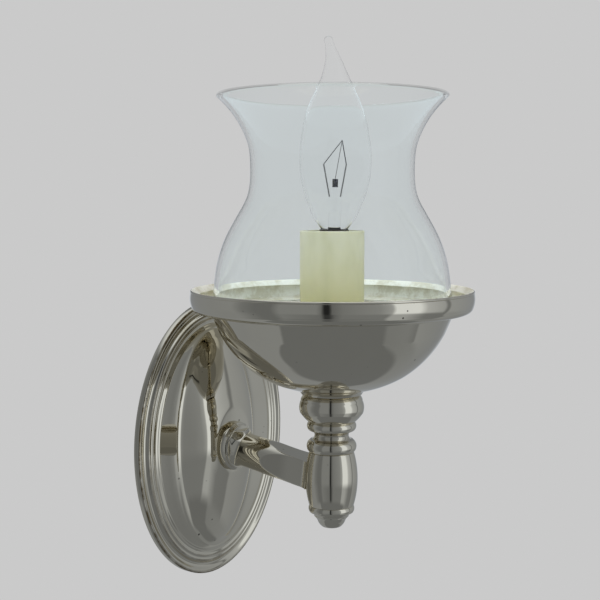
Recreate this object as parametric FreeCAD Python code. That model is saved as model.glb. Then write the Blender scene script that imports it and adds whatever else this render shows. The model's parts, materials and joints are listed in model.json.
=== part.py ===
import FreeCAD, Part
import math
import os

V = FreeCAD.Vector

# Driving sizes, in millimetres.
# The wall is the plane Y = 0 and the lamp stands out from it towards -Y.
# The origin is where the pipe through the wall plate meets the wall.

overrun = 20.0                 # how far a cutting tool runs past what it cuts
seat_gap = 0.3                 # what lifts off stands this far clear of its seat
thread_gap = 0.05              # radial play of a part on the thread or pin that carries it

# oval wall plate
plate_width = 105.0
plate_height = 133.0
plate_rise = 2.6               # the oval's centre stands this far above the pipe
plate_depth = 14.5             # wall to the flat land under the arm
plate_edge_depth = 3.2         # height of the plain skirt and its lip
plate_moulding_width = 12.6    # width of the moulded border
plate_dome_start = 4.3         # distance from the wall where the dome begins
plate_land_radius = 12.2
plate_wall = 1.2

# strap on the wall box, behind the plate
strap_end_room = 1.5           # strap's end to the plate's moulded border
strap_width = 15.9
strap_thickness = 2.4
box_slot_inset = 10.1          # middle of a slot to the strap's end
box_slot_width = 5.0
box_slot_length = 14.3
ground_screw_offset = 17.5
ground_screw_radius = 2.4
ground_head_radius = 4.6
ground_head_height = 3.2

# threaded pipes and their nuts
pipe_radius = 5.0
pipe_bore_radius = 3.4
nut_across_flats = 14.2
nut_thickness = 3.0
washer_radius = 9.5
washer_thickness = 1.0
nipple_set_back = 0.5          # the pipe ends short of the wall by this much
nipple_grip = 9.0              # how far the pipe screws into the arm

# arm
bowl_wall_room = 8.7           # rim of the bowl to the wall
arm_drop = 7.6                 # how far the arm falls on its way out
flange_radius = 11.7
flange_thickness = 3.4
flange_step_inset = 1.2
flange_step_thickness = 1.2
trumpet_inset = 0.4
trumpet_length = 6.0
arm_neck_radius = 7.9
arm_side = 12.5                # side of the square bar, past its scooped faces
arm_flare_length = 5.3         # where the bar's sides spread to the hub
arm_bore_radius = 4.0
tenon_radius = 6.0

# standing column: hub, bottom finial, collar and seat ring
hub_radius = 11.8
hub_swell = 1.75               # how far the hub's middle stands out past its ends
hub_height = 24.4
hub_above = 12.6               # hub top above the arm's axis
chamber_radius = 7.4
chamber_height = 15.0
finial_radius = 10.35
finial_height = 10.0
finial_stem_length = 5.0
collar_radius = 11.1
collar_height = 13.6
collar_neck_radius = 7.7
ring_radius = 14.55
ring_height = 12.6

# spun bowl
bowl_radius = 62.7
bowl_height = 45.7
bowl_foot_radius = 13.6
bowl_ledge_width = 9.3         # rim to the ledge's inner edge
bowl_ledge_height = 36.1       # inner end of the ledge above the bowl's foot
bowl_wall = 1.2

# glass shade
shade_lip_radius = 50.7
shade_waist_radius = 35.9
shade_foot_overhang = 0.1      # the glass reaches this far onto the ledge
shade_height = 94.7
shade_wall = 1.8

# clamp inside the bowl, and the candle sleeve
seat_foot_inset = 1.7          # bowl's foot to the seat's foot
seat_foot_height = 3.4
seat_brim_lip = 0.3            # the brim stands out past the sleeve
seat_brim_thickness = 1.0
lock_nut_thickness = 4.0
pipe_top_above_nut = 5.2
sleeve_radius = 14.3
sleeve_play = 1.45             # sleeve's bore to the socket's liner
sleeve_length = 66.5
sleeve_edge_radius = 0.8

# socket
socket_lean_deg = 1.1          # the bendable bracket lets the socket lean out from the wall
bracket_radius = 8.0
bracket_foot_height = 4.0
bracket_strap = 1.5
bracket_strap_width = 8.0
bracket_screw_radius = 1.6
bracket_screw_head_radius = 2.9
bracket_screw_head_height = 1.6
bracket_screw_grip = 6.0
socket_radius = 8.9
socket_recess = 2.3            # top of the socket below the top of the sleeve
liner_wall = 0.4
screw_shell_play = 0.3
screw_shell_wall = 0.4
screw_shell_length = 14.3
contact_plate_radius = 3.2
contact_plate_thickness = 0.35
contact_spring_height = 1.5
terminal_height = 8.0
terminal_head_radius = 2.6
terminal_head_thickness = 1.5
terminal_shank_radius = 1.4
terminal_shank_length = 3.6
terminal_pocket_width = 6.4
lead_radius = 0.9
lead_spacing = 2.8
lead_bend = 4.0
lead_rise = 2.0                # pipe's mouth to the knee where the wire turns into it

# lamp
cap_radius = 5.95
cap_rim_swell = 0.5
cap_above_socket = 2.8
cap_length = 16.4
cap_rim_height = 1.6
cap_wall = 0.35
insulator_height = 2.7
insulator_tip_radius = 3.0
button_radius = 2.4
button_height = 1.0
bulb_radius = 15.8
bulb_height = 84.0             # rim of the cap to the tip of the glass
bulb_wall = 0.7
bulb_neck_play = 0.4           # glass neck to the inside of the cap
bulb_neck_length = 4.2         # glass neck that the cap holds
tip_shift = 4.9                # how far the bent tip leans back to the wall
tip_radius = 2.0
stem_radius = 2.7
stem_height = 14.2             # rim of the cap to the top of the pinch
pinch_width = 6.0
pinch_thickness = 2.2
rod_radius = 0.7
bead_radius = 1.25
bead_height = 3.7
bead_rise = 4.3
support_radius = 0.3
support_height = 14.4
support_left = 5.2
support_right = 4.7
filament_radius = 0.35
filament_height = 10.6
filament_apex_shift = 2.7
filament_turn_deg = -53.9

# Sizes, heights and places that follow from the sizes above.

strap_length = plate_height - 2 * (plate_moulding_width + plate_rise + strap_end_room)
box_screw_spacing = strap_length - 2 * box_slot_inset
reach = bowl_radius + bowl_wall_room
arm_angle = math.atan2(arm_drop, reach - plate_depth)
arm_length = math.hypot(arm_drop, reach - plate_depth)
axis_y = -reach
flange_step_radius = flange_radius - flange_step_inset
trumpet_radius = flange_step_radius - trumpet_inset
hub_end_radius = hub_radius - hub_swell
hub_top = hub_above - arm_drop
hub_bottom = hub_top - hub_height
collar_bottom = hub_top
ring_bottom = collar_bottom + collar_height
bowl_bottom = ring_bottom + ring_height
bowl_floor = bowl_bottom + bowl_wall
bowl_ledge_inner_radius = bowl_radius - bowl_ledge_width
shade_foot_radius = bowl_ledge_inner_radius + shade_foot_overhang
seat_foot_radius = bowl_foot_radius - seat_foot_inset
seat_brim_radius = sleeve_radius + seat_brim_lip
seat_top = bowl_floor + seat_foot_height + seat_brim_thickness
nut_top = seat_top + lock_nut_thickness
pipe_top = nut_top + pipe_top_above_nut
chamber_bottom = -arm_drop - chamber_height / 2
chamber_top = chamber_bottom + chamber_height
sleeve_bottom = seat_top + seat_gap
sleeve_top = sleeve_bottom + sleeve_length
sleeve_bore_radius = socket_radius + liner_wall + sleeve_play
bracket_bottom = pipe_top - bracket_foot_height
bracket_height_share = 0.337   # of the height that the bracket and the socket fill
socket_top = sleeve_top - socket_recess
bracket_height = bracket_height_share * (socket_top - bracket_bottom)
socket_bottom = bracket_bottom + bracket_height
socket_height = socket_top - socket_bottom
terminal_pocket_depth = lead_radius * 2 + seat_gap
cap_top = socket_top + cap_above_socket
cap_bottom = cap_top - cap_length
insulator_bottom = cap_bottom - insulator_height
button_bottom = insulator_bottom - button_height
contact_top = button_bottom - seat_gap
well_floor = contact_top - contact_plate_thickness - contact_spring_height
screw_shell_radius = cap_radius + screw_shell_play + screw_shell_wall
cap_rim_radius = cap_radius + cap_rim_swell
bulb_neck_radius = cap_radius - cap_wall - bulb_neck_play
lean_height = bracket_bottom + bracket_foot_height / 2


# Helpers.

def outward(shape):
    """The shape with its material inside its faces."""
    if shape.Volume < 0:
        shape.reverse()
    return shape


def segments(start, steps):
    """The straight and arc edges of an outline in the radius and height plane.

    A step of two values is a line to that point. A step of four is an arc through the first
    point to the second.
    """
    edges = []
    here = V(start[0], 0, start[1])
    for step in steps:
        end = V(step[-2], 0, step[-1])
        if len(step) == 4:
            edges.append(Part.Arc(here, V(step[0], 0, step[1]), end).toShape())
        elif here.distanceToPoint(end) > 0:
            edges.append(Part.LineSegment(here, end).toShape())
        here = end
    return edges


def turned(start, *steps):
    """A solid turned about the Z axis from an outline that closes back to its start."""
    wire = Part.Wire(segments(start, list(steps) + [start]))
    return outward(Part.Face(wire).revolve(V(0, 0, 0), V(0, 0, 1), 360))


def scaled(steps, radius, height):
    """Outline steps given as shares, in real sizes."""
    return [
        tuple(value * (radius, height)[k % 2] for k, value in enumerate(step))
        for step in steps
    ]


def end_directions(here, step):
    """The directions of an outline's step at its start, middle and end."""
    end = step[-2:]
    if len(step) == 2:
        length = math.dist(here, end)
        along = ((end[0] - here[0]) / length, (end[1] - here[1]) / length)
        return along, along, along
    middle = step[:2]
    circle = Part.Circle(V(*here, 0), V(*middle, 0), V(*end, 0))
    centre = circle.Center
    turn = (middle[0] - here[0]) * (end[1] - middle[1]) - (middle[1] - here[1]) * (end[0] - middle[0])
    side = math.copysign(1, turn)
    found = []
    for point in (here, middle, end):
        arm = V(*point, 0) - centre
        found.append((-side * arm.y / arm.Length, side * arm.x / arm.Length))
    return tuple(found)


def moved_in(point, before, after, wall):
    """A point of an outline moved to the left of its direction by the wall."""
    nx, ny = -before[1] - after[1], before[0] + after[0]
    size = math.hypot(nx, ny)
    share = 2 / size
    return (point[0] + nx / size * wall * share, point[1] + ny / size * wall * share)


def inner_outline(start, steps, wall):
    """The outline on the inner side of a wall, as a start and steps in the same order."""
    points = [start] + [step[-2:] for step in steps]
    directions = [end_directions(points[k], step) for k, step in enumerate(steps)]
    starts = [directions[0][0]] + [d[2] for d in directions]
    ends = [d[0] for d in directions] + [directions[-1][2]]
    corners = [moved_in(p, a, b, wall) for p, a, b in zip(points, starts, ends)]
    inner = []
    for k, step in enumerate(steps):
        if len(step) == 4:
            middle = moved_in(step[:2], directions[k][1], directions[k][1], wall)
            inner.append(middle + corners[k + 1])
        else:
            inner.append(corners[k + 1])
    return corners[0], inner


def backwards(start, steps):
    """The same outline walked from its end to its start."""
    points = [start] + [step[-2:] for step in steps]
    back = [step[:-2] + points[k] for k, step in enumerate(steps)]
    return points[-1], back[::-1]


def spun_wall(start, steps, wall):
    """A turned shell: the outline outside, its copy set in by the wall, and a round top edge."""
    inner_start, inner_steps = inner_outline(start, steps, wall)
    inner_end, inner_back = backwards(inner_start, inner_steps)
    outer_end = steps[-1][-2:]
    along = end_directions(steps[-2][-2:], steps[-1])[2]
    crown = tuple((a + b + wall * c) / 2 for a, b, c in zip(outer_end, inner_end, along))
    return turned(start, *steps, crown + inner_end, *inner_back)


def ring(outer, inner, bottom, top):
    """A plain tube on the Z axis."""
    return turned((inner, bottom), (outer, bottom), (outer, top), (inner, top))


def rod(start, end, radius):
    """A round bar from one point to another."""
    return Part.makeCylinder(radius, start.distanceToPoint(end), start, end - start)


def bent_rod(points, radius):
    """Round bars joined end to end with rounded knees."""
    shape = rod(points[0], points[1], radius)
    for here, end in zip(points[1:], points[2:]):
        shape = shape.fuse([Part.makeSphere(radius, here), rod(here, end, radius)])
    return shape


def hex_nut(across, thickness, bore, centre, direction):
    """A six-sided nut whose back face is centred on a point."""
    corner = across / math.sqrt(3)
    points = [
        V(corner * math.cos(math.radians(60 * k)), corner * math.sin(math.radians(60 * k)), 0)
        for k in range(6)
    ]
    body = Part.Face(Part.makePolygon(points + [points[0]])).extrude(V(0, 0, thickness))
    body = body.cut(Part.makeCylinder(bore, thickness + overrun, V(0, 0, -overrun / 2)))
    rounding = turned(
        (0, 0),
        (across / 2, 0),
        (corner, (corner - across / 2) / 2),
        (corner, thickness - (corner - across / 2) / 2),
        (across / 2, thickness),
        (0, thickness),
    )
    body = outward(body).common(rounding)
    body.Placement = FreeCAD.Placement(centre, FreeCAD.Rotation(V(0, 0, 1), direction))
    return body


def on_column(shape, height=0):
    """A shape made on the Z axis, set on the axis of the standing column."""
    shape.translate(V(0, axis_y, height))
    return shape


def leaned(shape):
    """A piece of the socket or lamp, leaning with the socket away from the wall."""
    shape.rotate(V(0, axis_y, lean_height), V(1, 0, 0), socket_lean_deg)
    return shape


def towards_room(shape, distance=0):
    """A shape turned on the Z axis, laid along -Y from a distance in front of the wall."""
    shape.rotate(V(0, 0, 0), V(1, 0, 0), 90)
    shape.translate(V(0, -distance, 0))
    return shape


def along_arm(shape):
    """A shape made up the Z axis, laid along the arm from its seat on the plate."""
    shape.rotate(V(0, 0, 0), V(1, 0, 0), 90 + math.degrees(arm_angle))
    shape.translate(V(0, -plate_depth, 0))
    return shape


def curved_path(points, bend):
    """A line through the points with a tangent arc of one radius at each knee."""
    edges = []
    here = points[0]
    for before, knee, after in zip(points, points[1:], points[2:]):
        back = (before - knee).normalize()
        on = (after - knee).normalize()
        half = back.getAngle(on) / 2
        reach_back = bend / math.tan(half)
        start, end = knee + back * reach_back, knee + on * reach_back
        middle_way = (back + on).normalize()
        middle = knee + middle_way * (bend / math.sin(half) - bend)
        edges.append(Part.LineSegment(here, start).toShape())
        edges.append(Part.Arc(start, middle, end).toShape())
        here = end
    edges.append(Part.LineSegment(here, points[-1]).toShape())
    return Part.Wire(edges)


def tube_along(points, bend, radius):
    """A round tube that follows a curved path."""
    path = curved_path(points, bend)
    start = points[0]
    circle = Part.Wire(Part.makeCircle(radius, start, points[1] - start))
    return outward(path.makePipeShell([circle], True, True))


# Wall plate.

# The moulded border from the skirt inwards: skirt, lip, cove, two beads and a second cove.
# Each row is a share of the border's width and a share of the lip's height.
moulding_shares = [
    (0.0, 0.0),
    (0.0, 0.82),
    (0.028, 0.94),
    (0.087, 1.0),
    (0.143, 0.95),
    (0.19, 0.81),
    (0.25, 0.64),
    (0.33, 0.57),
    (0.41, 0.68),
    (0.46, 0.93),
    (0.50, 1.06),
    (0.55, 1.08),
    (0.595, 1.0),
    (0.63, 1.02),
    (0.68, 1.12),
    (0.73, 1.1),
    (0.80, 0.98),
    (0.88, 1.03),
    (0.95, 1.16),
]
cove_inset_share = 0.44
cove_floor_share = 0.2
second_cove_share = 0.86
second_floor_share = 0.6
dome_row_shares = [1.0, 0.93, 0.85, 0.76, 0.66, 0.55, 0.43, 0.3, 0.15, 0.0]
dome_power = 1.7
dome_wall_share = 1.15


def oval(half_width, half_height, distance):
    """An upright ellipse, parallel to the wall and this far in front of it."""
    centre = V(0, -distance, plate_rise)
    top = V(0, -distance, plate_rise + half_height)
    side = V(half_width, -distance, plate_rise)
    return Part.Wire(Part.Ellipse(top, side, centre).toShape())


def dome_rows(inset, start, top):
    """Ovals from the border in to the land, in proportion to each other."""
    wide = plate_width / 2 - plate_moulding_width - inset
    high = plate_height / 2 - plate_moulding_width - inset
    land_share = plate_land_radius / (plate_width / 2 - plate_moulding_width)
    rows = []
    for share in dome_row_shares:
        size_share = land_share + (1 - land_share) * share
        distance = start + (top - start) * (1 - share ** dome_power)
        rows.append(oval(wide * size_share, high * size_share, distance))
    return rows


def make_backplate():
    border = []
    for inset_share, depth_share in moulding_shares:
        inset = inset_share * plate_moulding_width
        border.append(
            oval(plate_width / 2 - inset, plate_height / 2 - inset, depth_share * plate_edge_depth)
        )
    outer = Part.makeLoft(border + dome_rows(0, plate_dome_start, plate_depth), True, True)
    inside = []
    for inset, depth in (
        (plate_wall, -plate_wall),
        (plate_wall, cove_floor_share * plate_edge_depth),
        (cove_inset_share * plate_moulding_width, cove_floor_share * plate_edge_depth),
        (second_cove_share * plate_moulding_width, second_floor_share * plate_edge_depth),
    ):
        inside.append(oval(plate_width / 2 - inset, plate_height / 2 - inset, depth))
    wall = plate_wall * dome_wall_share
    hollow = Part.makeLoft(
        inside + dome_rows(plate_wall / 2, plate_dome_start - wall, plate_depth - plate_wall),
        True,
        True,
    )
    hole = Part.makeCylinder(
        pipe_radius + thread_gap, plate_depth + overrun, V(0, overrun / 2, 0), V(0, -1, 0)
    )
    return outward(outer).cut(outward(hollow)).cut(hole)


def make_strap():
    half = strap_length / 2 - strap_width / 2
    outline = Part.Wire([
        Part.LineSegment(V(-strap_width / 2, 0, -half), V(-strap_width / 2, 0, half)).toShape(),
        Part.Arc(
            V(-strap_width / 2, 0, half), V(0, 0, strap_length / 2), V(strap_width / 2, 0, half)
        ).toShape(),
        Part.LineSegment(V(strap_width / 2, 0, half), V(strap_width / 2, 0, -half)).toShape(),
        Part.Arc(
            V(strap_width / 2, 0, -half), V(0, 0, -strap_length / 2), V(-strap_width / 2, 0, -half)
        ).toShape(),
    ])
    strap = outward(Part.Face(outline).extrude(V(0, -strap_thickness, 0)))
    tools = [through_strap(pipe_radius, 0), through_strap(ground_screw_radius, ground_screw_offset)]
    straight = box_slot_length - box_slot_width
    for side in (-1, 1):
        middle = side * box_screw_spacing / 2
        for end in (-1, 1):
            tools.append(through_strap(box_slot_width / 2, middle + end * straight / 2))
        tools.append(Part.makeBox(
            box_slot_width, strap_thickness + overrun, straight,
            V(-box_slot_width / 2, -strap_thickness - overrun / 2, middle - straight / 2),
        ))
    for tool in tools:
        strap = strap.cut(tool)
    return strap


def through_strap(radius, height):
    """A cutter for a round hole through the strap."""
    return Part.makeCylinder(
        radius, strap_thickness + overrun, V(0, overrun / 2, height), V(0, -1, 0)
    )


def make_ground_screw():
    shank = Part.makeCylinder(
        ground_screw_radius, strap_thickness, V(0, 0, ground_screw_offset), V(0, -1, 0)
    )
    head = hex_nut(
        ground_head_radius * math.sqrt(3), ground_head_height, ground_screw_radius / 2,
        V(0, -strap_thickness, ground_screw_offset), V(0, -1, 0),
    )
    core = Part.makeCylinder(
        ground_screw_radius, ground_head_height / 2,
        V(0, -strap_thickness, ground_screw_offset), V(0, -1, 0),
    )
    return shank.fuse([head, core]).removeSplitter()


def make_nipple():
    length = plate_depth + nipple_grip - nipple_set_back
    pipe = ring(pipe_radius, pipe_bore_radius, 0, length)
    return towards_room(pipe, nipple_set_back)


def make_wall_nut(distance):
    """A hex nut on the wall pipe, its back this far in front of the wall."""
    return hex_nut(
        nut_across_flats, nut_thickness, pipe_radius, V(0, -distance, 0), V(0, -1, 0)
    )


def make_plate_washer():
    distance = plate_depth - plate_wall - washer_thickness
    return towards_room(ring(washer_radius, pipe_radius + thread_gap, 0, washer_thickness), distance)


# Arm.

# Shares of the flange's radius and thickness, and of the lengths along the arm.
flange_edge_shares = [(1.0, 0.35), (0.97, 0.8), (0.9, 1.0)]
flange_back_share = 0.9
trumpet_shares = (0.865, 0.4)
swell_shares = (0.2, 0.45)
corner_room_share = 1.25
# Shares of the bar's length from the neck to the hub.
corner_length_share = 0.85
scoop_start_share = 0.31
scoop_end_share = 0.76
scoop_middle_share = 0.25
flare_start_share = 0.53
flare_end_share = 0.25
flare_width_share = 0.6         # of the room between the bar's side and the hub's end
flare_middle_shares = (0.23, 0.55)


def hub_outline():
    """The hub's barrel outline, from its bottom end up to its top end."""
    return [(hub_end_radius, 0), (hub_radius, hub_height / 2, hub_end_radius, hub_height)]


def hub_blank():
    """The hub before its bores are cut, on the axis of the column."""
    start, arc = hub_outline()
    return on_column(turned((0, 0), start, arc, (0, hub_height)), hub_bottom)


def make_flange():
    edge = [(r * flange_radius, z * flange_thickness) for r, z in flange_edge_shares]
    step = flange_thickness + flange_step_thickness
    flange = turned(
        (0, 0),
        (flange_back_share * flange_radius, 0),
        edge[0],
        edge[1],
        edge[2],
        (flange_step_radius, flange_thickness),
        (flange_step_radius, flange_thickness + flange_step_thickness / 2),
        (trumpet_radius, step),
        (0, step),
    )
    return towards_room(flange, plate_depth)


def make_trumpet():
    """The bell-mouthed root of the arm, up to its round neck."""
    neck = flange_thickness + trumpet_length
    start = flange_thickness / 2
    return turned(
        (0, start),
        (trumpet_radius, start),
        (trumpet_radius, flange_thickness + flange_step_thickness / 2),
        (
            trumpet_shares[0] * trumpet_radius,
            flange_thickness + trumpet_shares[1] * trumpet_length,
            arm_neck_radius,
            neck,
        ),
        (0, neck),
    )


def make_bar():
    """The round bar with four flat faces, which run out in scooped arches towards the neck.

    A swelling cone trims the corners, so they grow out of the round neck and are whole only
    near the hub, where the two sides spread a little onto the barrel.
    """
    neck = flange_thickness + trumpet_length
    length = arm_length - hub_radius - neck
    half = arm_side / 2
    corner = half * math.sqrt(2)
    cone = turned(
        (0, neck),
        (arm_neck_radius, neck),
        (
            arm_neck_radius + swell_shares[0] * (corner - arm_neck_radius),
            neck + swell_shares[1] * corner_length_share * length,
            corner,
            neck + corner_length_share * length,
        ),
        (corner * corner_room_share, neck + length),
        (corner * corner_room_share, arm_length),
        (0, arm_length),
    )
    scoop_start = neck + scoop_start_share * length
    scoop_end = neck + scoop_end_share * length
    scoop = [
        (corner, neck),
        (corner, scoop_start),
        (
            half + scoop_middle_share * (corner - half),
            (scoop_start + scoop_end) / 2,
            half,
            scoop_end,
        ),
    ]
    contact = arm_length - math.sqrt(hub_radius ** 2 - half ** 2)
    flare = flare_width_share * (hub_end_radius - half)
    spread = contact - arm_flare_length * flare_start_share
    far = spread + arm_flare_length
    inside = arm_length - hub_radius * flare_end_share
    spreading = [
        (half, spread),
        (
            half + flare_middle_shares[0] * flare,
            spread + flare_middle_shares[1] * arm_flare_length,
            half + flare,
            far,
        ),
        (half + flare, inside),
    ]
    plan = both_sides(scoop + spreading)
    side = both_sides(scoop + [(half, arm_length)])
    side.rotate(V(0, 0, 0), V(0, 0, 1), 90)
    return cone.common(plan).common(side)


def both_sides(steps):
    """A slab as deep as the arm, from one side of an outline that is mirrored on the axis."""
    last, back = backwards(steps[0], steps[1:])
    mirrored = [tuple(-v if k % 2 == 0 else v for k, v in enumerate(step)) for step in [last] + back]
    face = Part.Face(Part.Wire(segments(steps[0], steps[1:] + mirrored + [steps[0]])))
    face.translate(V(0, -arm_side, 0))
    return outward(face.extrude(V(0, arm_side * 2, 0)))


def make_arm():
    stem = along_arm(make_trumpet().fuse(make_bar()))
    arm = stem.fuse(make_flange())
    behind_plate = Part.makeBox(
        flange_radius * 4, overrun, flange_radius * 4,
        V(-flange_radius * 2, -plate_depth, -flange_radius * 2),
    )
    arm = arm.cut(behind_plate).cut(hub_blank())
    tenon = along_arm(Part.makeCylinder(tenon_radius, hub_radius, V(0, 0, arm_length - hub_radius)))
    root = along_arm(
        Part.makeCylinder(tenon_radius, hub_radius, V(0, 0, arm_length - hub_radius * 2))
    )
    chamber = on_column(Part.makeCylinder(chamber_radius, chamber_height, V(0, 0, chamber_bottom)))
    arm = arm.fuse([tenon.cut(chamber), root]).cut(chamber).removeSplitter()
    bore = along_arm(Part.makeCylinder(arm_bore_radius, arm_length + overrun, V(0, 0, -overrun)))
    pipe_hole = Part.makeCylinder(
        pipe_radius, nipple_grip + overrun, V(0, -plate_depth + overrun, 0), V(0, -1, 0)
    )
    return arm.cut(bore).cut(pipe_hole)


# Standing column.

# Outlines are shares of each piece's radius and height.
collar_lower_shares = [(0.9, 0.0), (1.01, 0.22, 0.865, 0.4)]
collar_cove_share = 0.56
collar_upper_shares = [(0.82, 0.7), (1.0, 0.88, 0.93, 1.0)]
ring_shares = [(0.72, 0.0), (0.855, 0.15, 0.975, 0.33), (1.0, 0.55, 0.955, 0.79), (0.93, 1.0)]
finial_shares = [
    (0.345, 0.0),
    (0.42, 0.02),
    (0.53, 0.14, 0.61, 0.3),
    (0.7, 0.44, 0.755, 0.5),
    (0.8, 0.62, 0.955, 0.7),
    (1.0, 0.85, 0.96, 1.0),
]


def column_piece(outline, bottom):
    """A turned piece of the column with the pipe's bore through it."""
    solid = turned((0, outline[0][1]), *outline, (0, outline[-1][-1]))
    bore = Part.makeCylinder(pipe_radius + thread_gap, bowl_radius, V(0, 0, -overrun))
    return on_column(solid.cut(bore), bottom)


def make_hub():
    bore = on_column(Part.makeCylinder(
        pipe_radius + thread_gap, hub_height + overrun, V(0, 0, hub_bottom - overrun / 2)
    ))
    chamber = on_column(Part.makeCylinder(chamber_radius, chamber_height, V(0, 0, chamber_bottom)))
    socket = along_arm(Part.makeCylinder(
        tenon_radius, hub_radius * 2, V(0, 0, arm_length - hub_radius * 2)
    ))
    return hub_blank().cut(bore).cut(chamber).cut(socket)


def make_finial():
    outline = scaled(finial_shares, finial_radius, finial_height)
    knob = turned((0, 0), *outline, (0, finial_height))
    stem = Part.makeCylinder(pipe_radius, finial_stem_length, V(0, 0, finial_height))
    return on_column(knob.fuse(stem), hub_bottom - finial_height)


def make_collar():
    outline = (
        scaled(collar_lower_shares, collar_radius, collar_height)
        + [(
            collar_neck_radius,
            collar_cove_share * collar_height,
            collar_upper_shares[0][0] * collar_radius,
            collar_upper_shares[0][1] * collar_height,
        )]
        + scaled(collar_upper_shares[1:], collar_radius, collar_height)
    )
    return column_piece(outline, collar_bottom)


def make_seat_ring():
    return column_piece(scaled(ring_shares, ring_radius, ring_height), ring_bottom)


def make_center_pipe():
    return on_column(ring(pipe_radius, pipe_bore_radius, chamber_top, pipe_top))


# Bowl and shade.

# The bowl below its ledge: shares of the ledge's inner radius and height.
foot_curve_shares = (0.0444, 0.0326, 0.1037, 0.0605)
belly_shares = [(0.476, 0.141, 0.626, 0.255), (0.805, 0.488, 0.938, 0.782), (1.0, 1.0)]
# The ledge and the rim band above it: shares of the ledge's width and of the band's height.
band_shares = [(0.656, 0.104), (0.833, 0.182, 0.935, 0.354), (1.0, 0.646, 0.968, 1.0)]
# The shade from its foot up: shares of the height, and radii between foot, waist and lip.
shade_belly_shares = [(0.933, 0.098, 0.874, 0.185), (0.738, 0.287, 0.496, 0.388)]
shade_shoulder_shares = [(0.256, 0.466), (0.097, 0.523, 0.024, 0.574)]
shade_waist_share = 0.667
shade_flare_shares = [(0.045, 0.757), (0.375, 0.875, 0.965, 0.983)]


def bowl_outline():
    radius, height = bowl_ledge_inner_radius, bowl_ledge_height
    grown = radius - bowl_foot_radius
    curve = foot_curve_shares
    foot = (
        bowl_foot_radius + curve[0] * grown / 2,
        curve[1] * height,
        bowl_foot_radius + curve[2] * grown / 2,
        curve[3] * height,
    )
    ledge = bowl_radius - radius
    rim = bowl_height - height
    band = []
    for step in band_shares:
        band.append(tuple(
            value * ledge + radius if k % 2 == 0 else height + value * rim
            for k, value in enumerate(step)
        ))
    steps = [(bowl_foot_radius, 0), foot] + scaled(belly_shares, radius, height) + band
    return (pipe_radius + thread_gap, 0), steps


def make_bowl():
    start, steps = bowl_outline()
    return on_column(spun_wall(start, steps, bowl_wall), bowl_bottom)


def ledge_top_at(radius):
    """Height of the bowl's inner ledge at a radius, above the bowl's foot."""
    start, steps = bowl_outline()
    inner_start, inner = inner_outline(start, steps, bowl_wall)
    low, high = inner[4], inner[5]
    share = (radius - low[-2]) / (high[-2] - low[-2])
    return low[-1] + share * (high[-1] - low[-1])


def shade_outline():
    foot, waist, lip = shade_foot_radius, shade_waist_radius, shade_lip_radius

    def mixed(step, other):
        return tuple(
            waist + value * (other - waist) if k % 2 == 0 else value * shade_height
            for k, value in enumerate(step)
        )

    steps = [mixed(step, foot) for step in shade_belly_shares + shade_shoulder_shares]
    up = mixed(shade_flare_shares[0], lip)
    steps.append((waist, shade_waist_share * shade_height) + up)
    steps.append(mixed(shade_flare_shares[1], lip))
    return (foot, 0), steps


def make_shade():
    start, steps = shade_outline()
    shade = spun_wall(start, steps, shade_wall)
    seat = bowl_bottom + ledge_top_at(shade_foot_radius) + seat_gap
    return on_column(shade, seat)


def make_bowl_seat():
    hole = pipe_radius + thread_gap
    seat = turned(
        (hole, 0),
        (seat_foot_radius, 0),
        (seat_foot_radius, seat_foot_height),
        (seat_brim_radius, seat_foot_height),
        (seat_brim_radius, seat_foot_height + seat_brim_thickness),
        (hole, seat_foot_height + seat_brim_thickness),
    )
    return on_column(seat, bowl_floor)


def make_bowl_nut():
    return hex_nut(
        nut_across_flats, lock_nut_thickness, pipe_radius, V(0, axis_y, seat_top), V(0, 0, 1)
    )


def make_sleeve():
    bottom, top = sleeve_bottom, sleeve_top
    edge = sleeve_edge_radius
    sleeve = turned(
        (sleeve_bore_radius, bottom),
        (sleeve_radius, bottom),
        (sleeve_radius, top - edge),
        (
            sleeve_radius - edge + edge * math.sqrt(0.5),
            top - edge + edge * math.sqrt(0.5),
            sleeve_radius - edge,
            top,
        ),
        (sleeve_bore_radius, top),
    )
    return on_column(sleeve)


# Socket.

lead_knee_share = 0.25         # of the bracket's height, below the socket, where a wire turns in


def make_bracket():
    foot = ring(bracket_radius, pipe_radius + thread_gap, bracket_bottom, pipe_top)
    legs = Part.makeBox(
        bracket_strap_width, bracket_radius * 2, bracket_height,
        V(-bracket_strap_width / 2, -bracket_radius, bracket_bottom),
    )
    window = Part.makeBox(
        bracket_strap_width * 2,
        bracket_radius * 2 - bracket_strap * 2,
        bracket_height - bracket_strap,
        V(-bracket_strap_width, -bracket_radius + bracket_strap, bracket_bottom),
    )
    hole = Part.makeCylinder(bracket_screw_radius, overrun, V(0, 0, socket_bottom - overrun / 2))
    bracket = legs.cut(window).fuse(foot).cut(hole)
    inside = Part.makeCylinder(bracket_radius, bracket_height, V(0, 0, bracket_bottom))
    return leaned(on_column(bracket.common(inside).removeSplitter()))


def make_bracket_screw():
    head_bottom = socket_bottom - bracket_strap - bracket_screw_head_height
    head = Part.makeCylinder(
        bracket_screw_head_radius, bracket_screw_head_height, V(0, 0, head_bottom)
    )
    shank = Part.makeCylinder(
        bracket_screw_radius, bracket_strap + bracket_screw_grip + bracket_screw_head_height,
        V(0, 0, head_bottom),
    )
    return leaned(on_column(head.fuse(shank).removeSplitter()))


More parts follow.
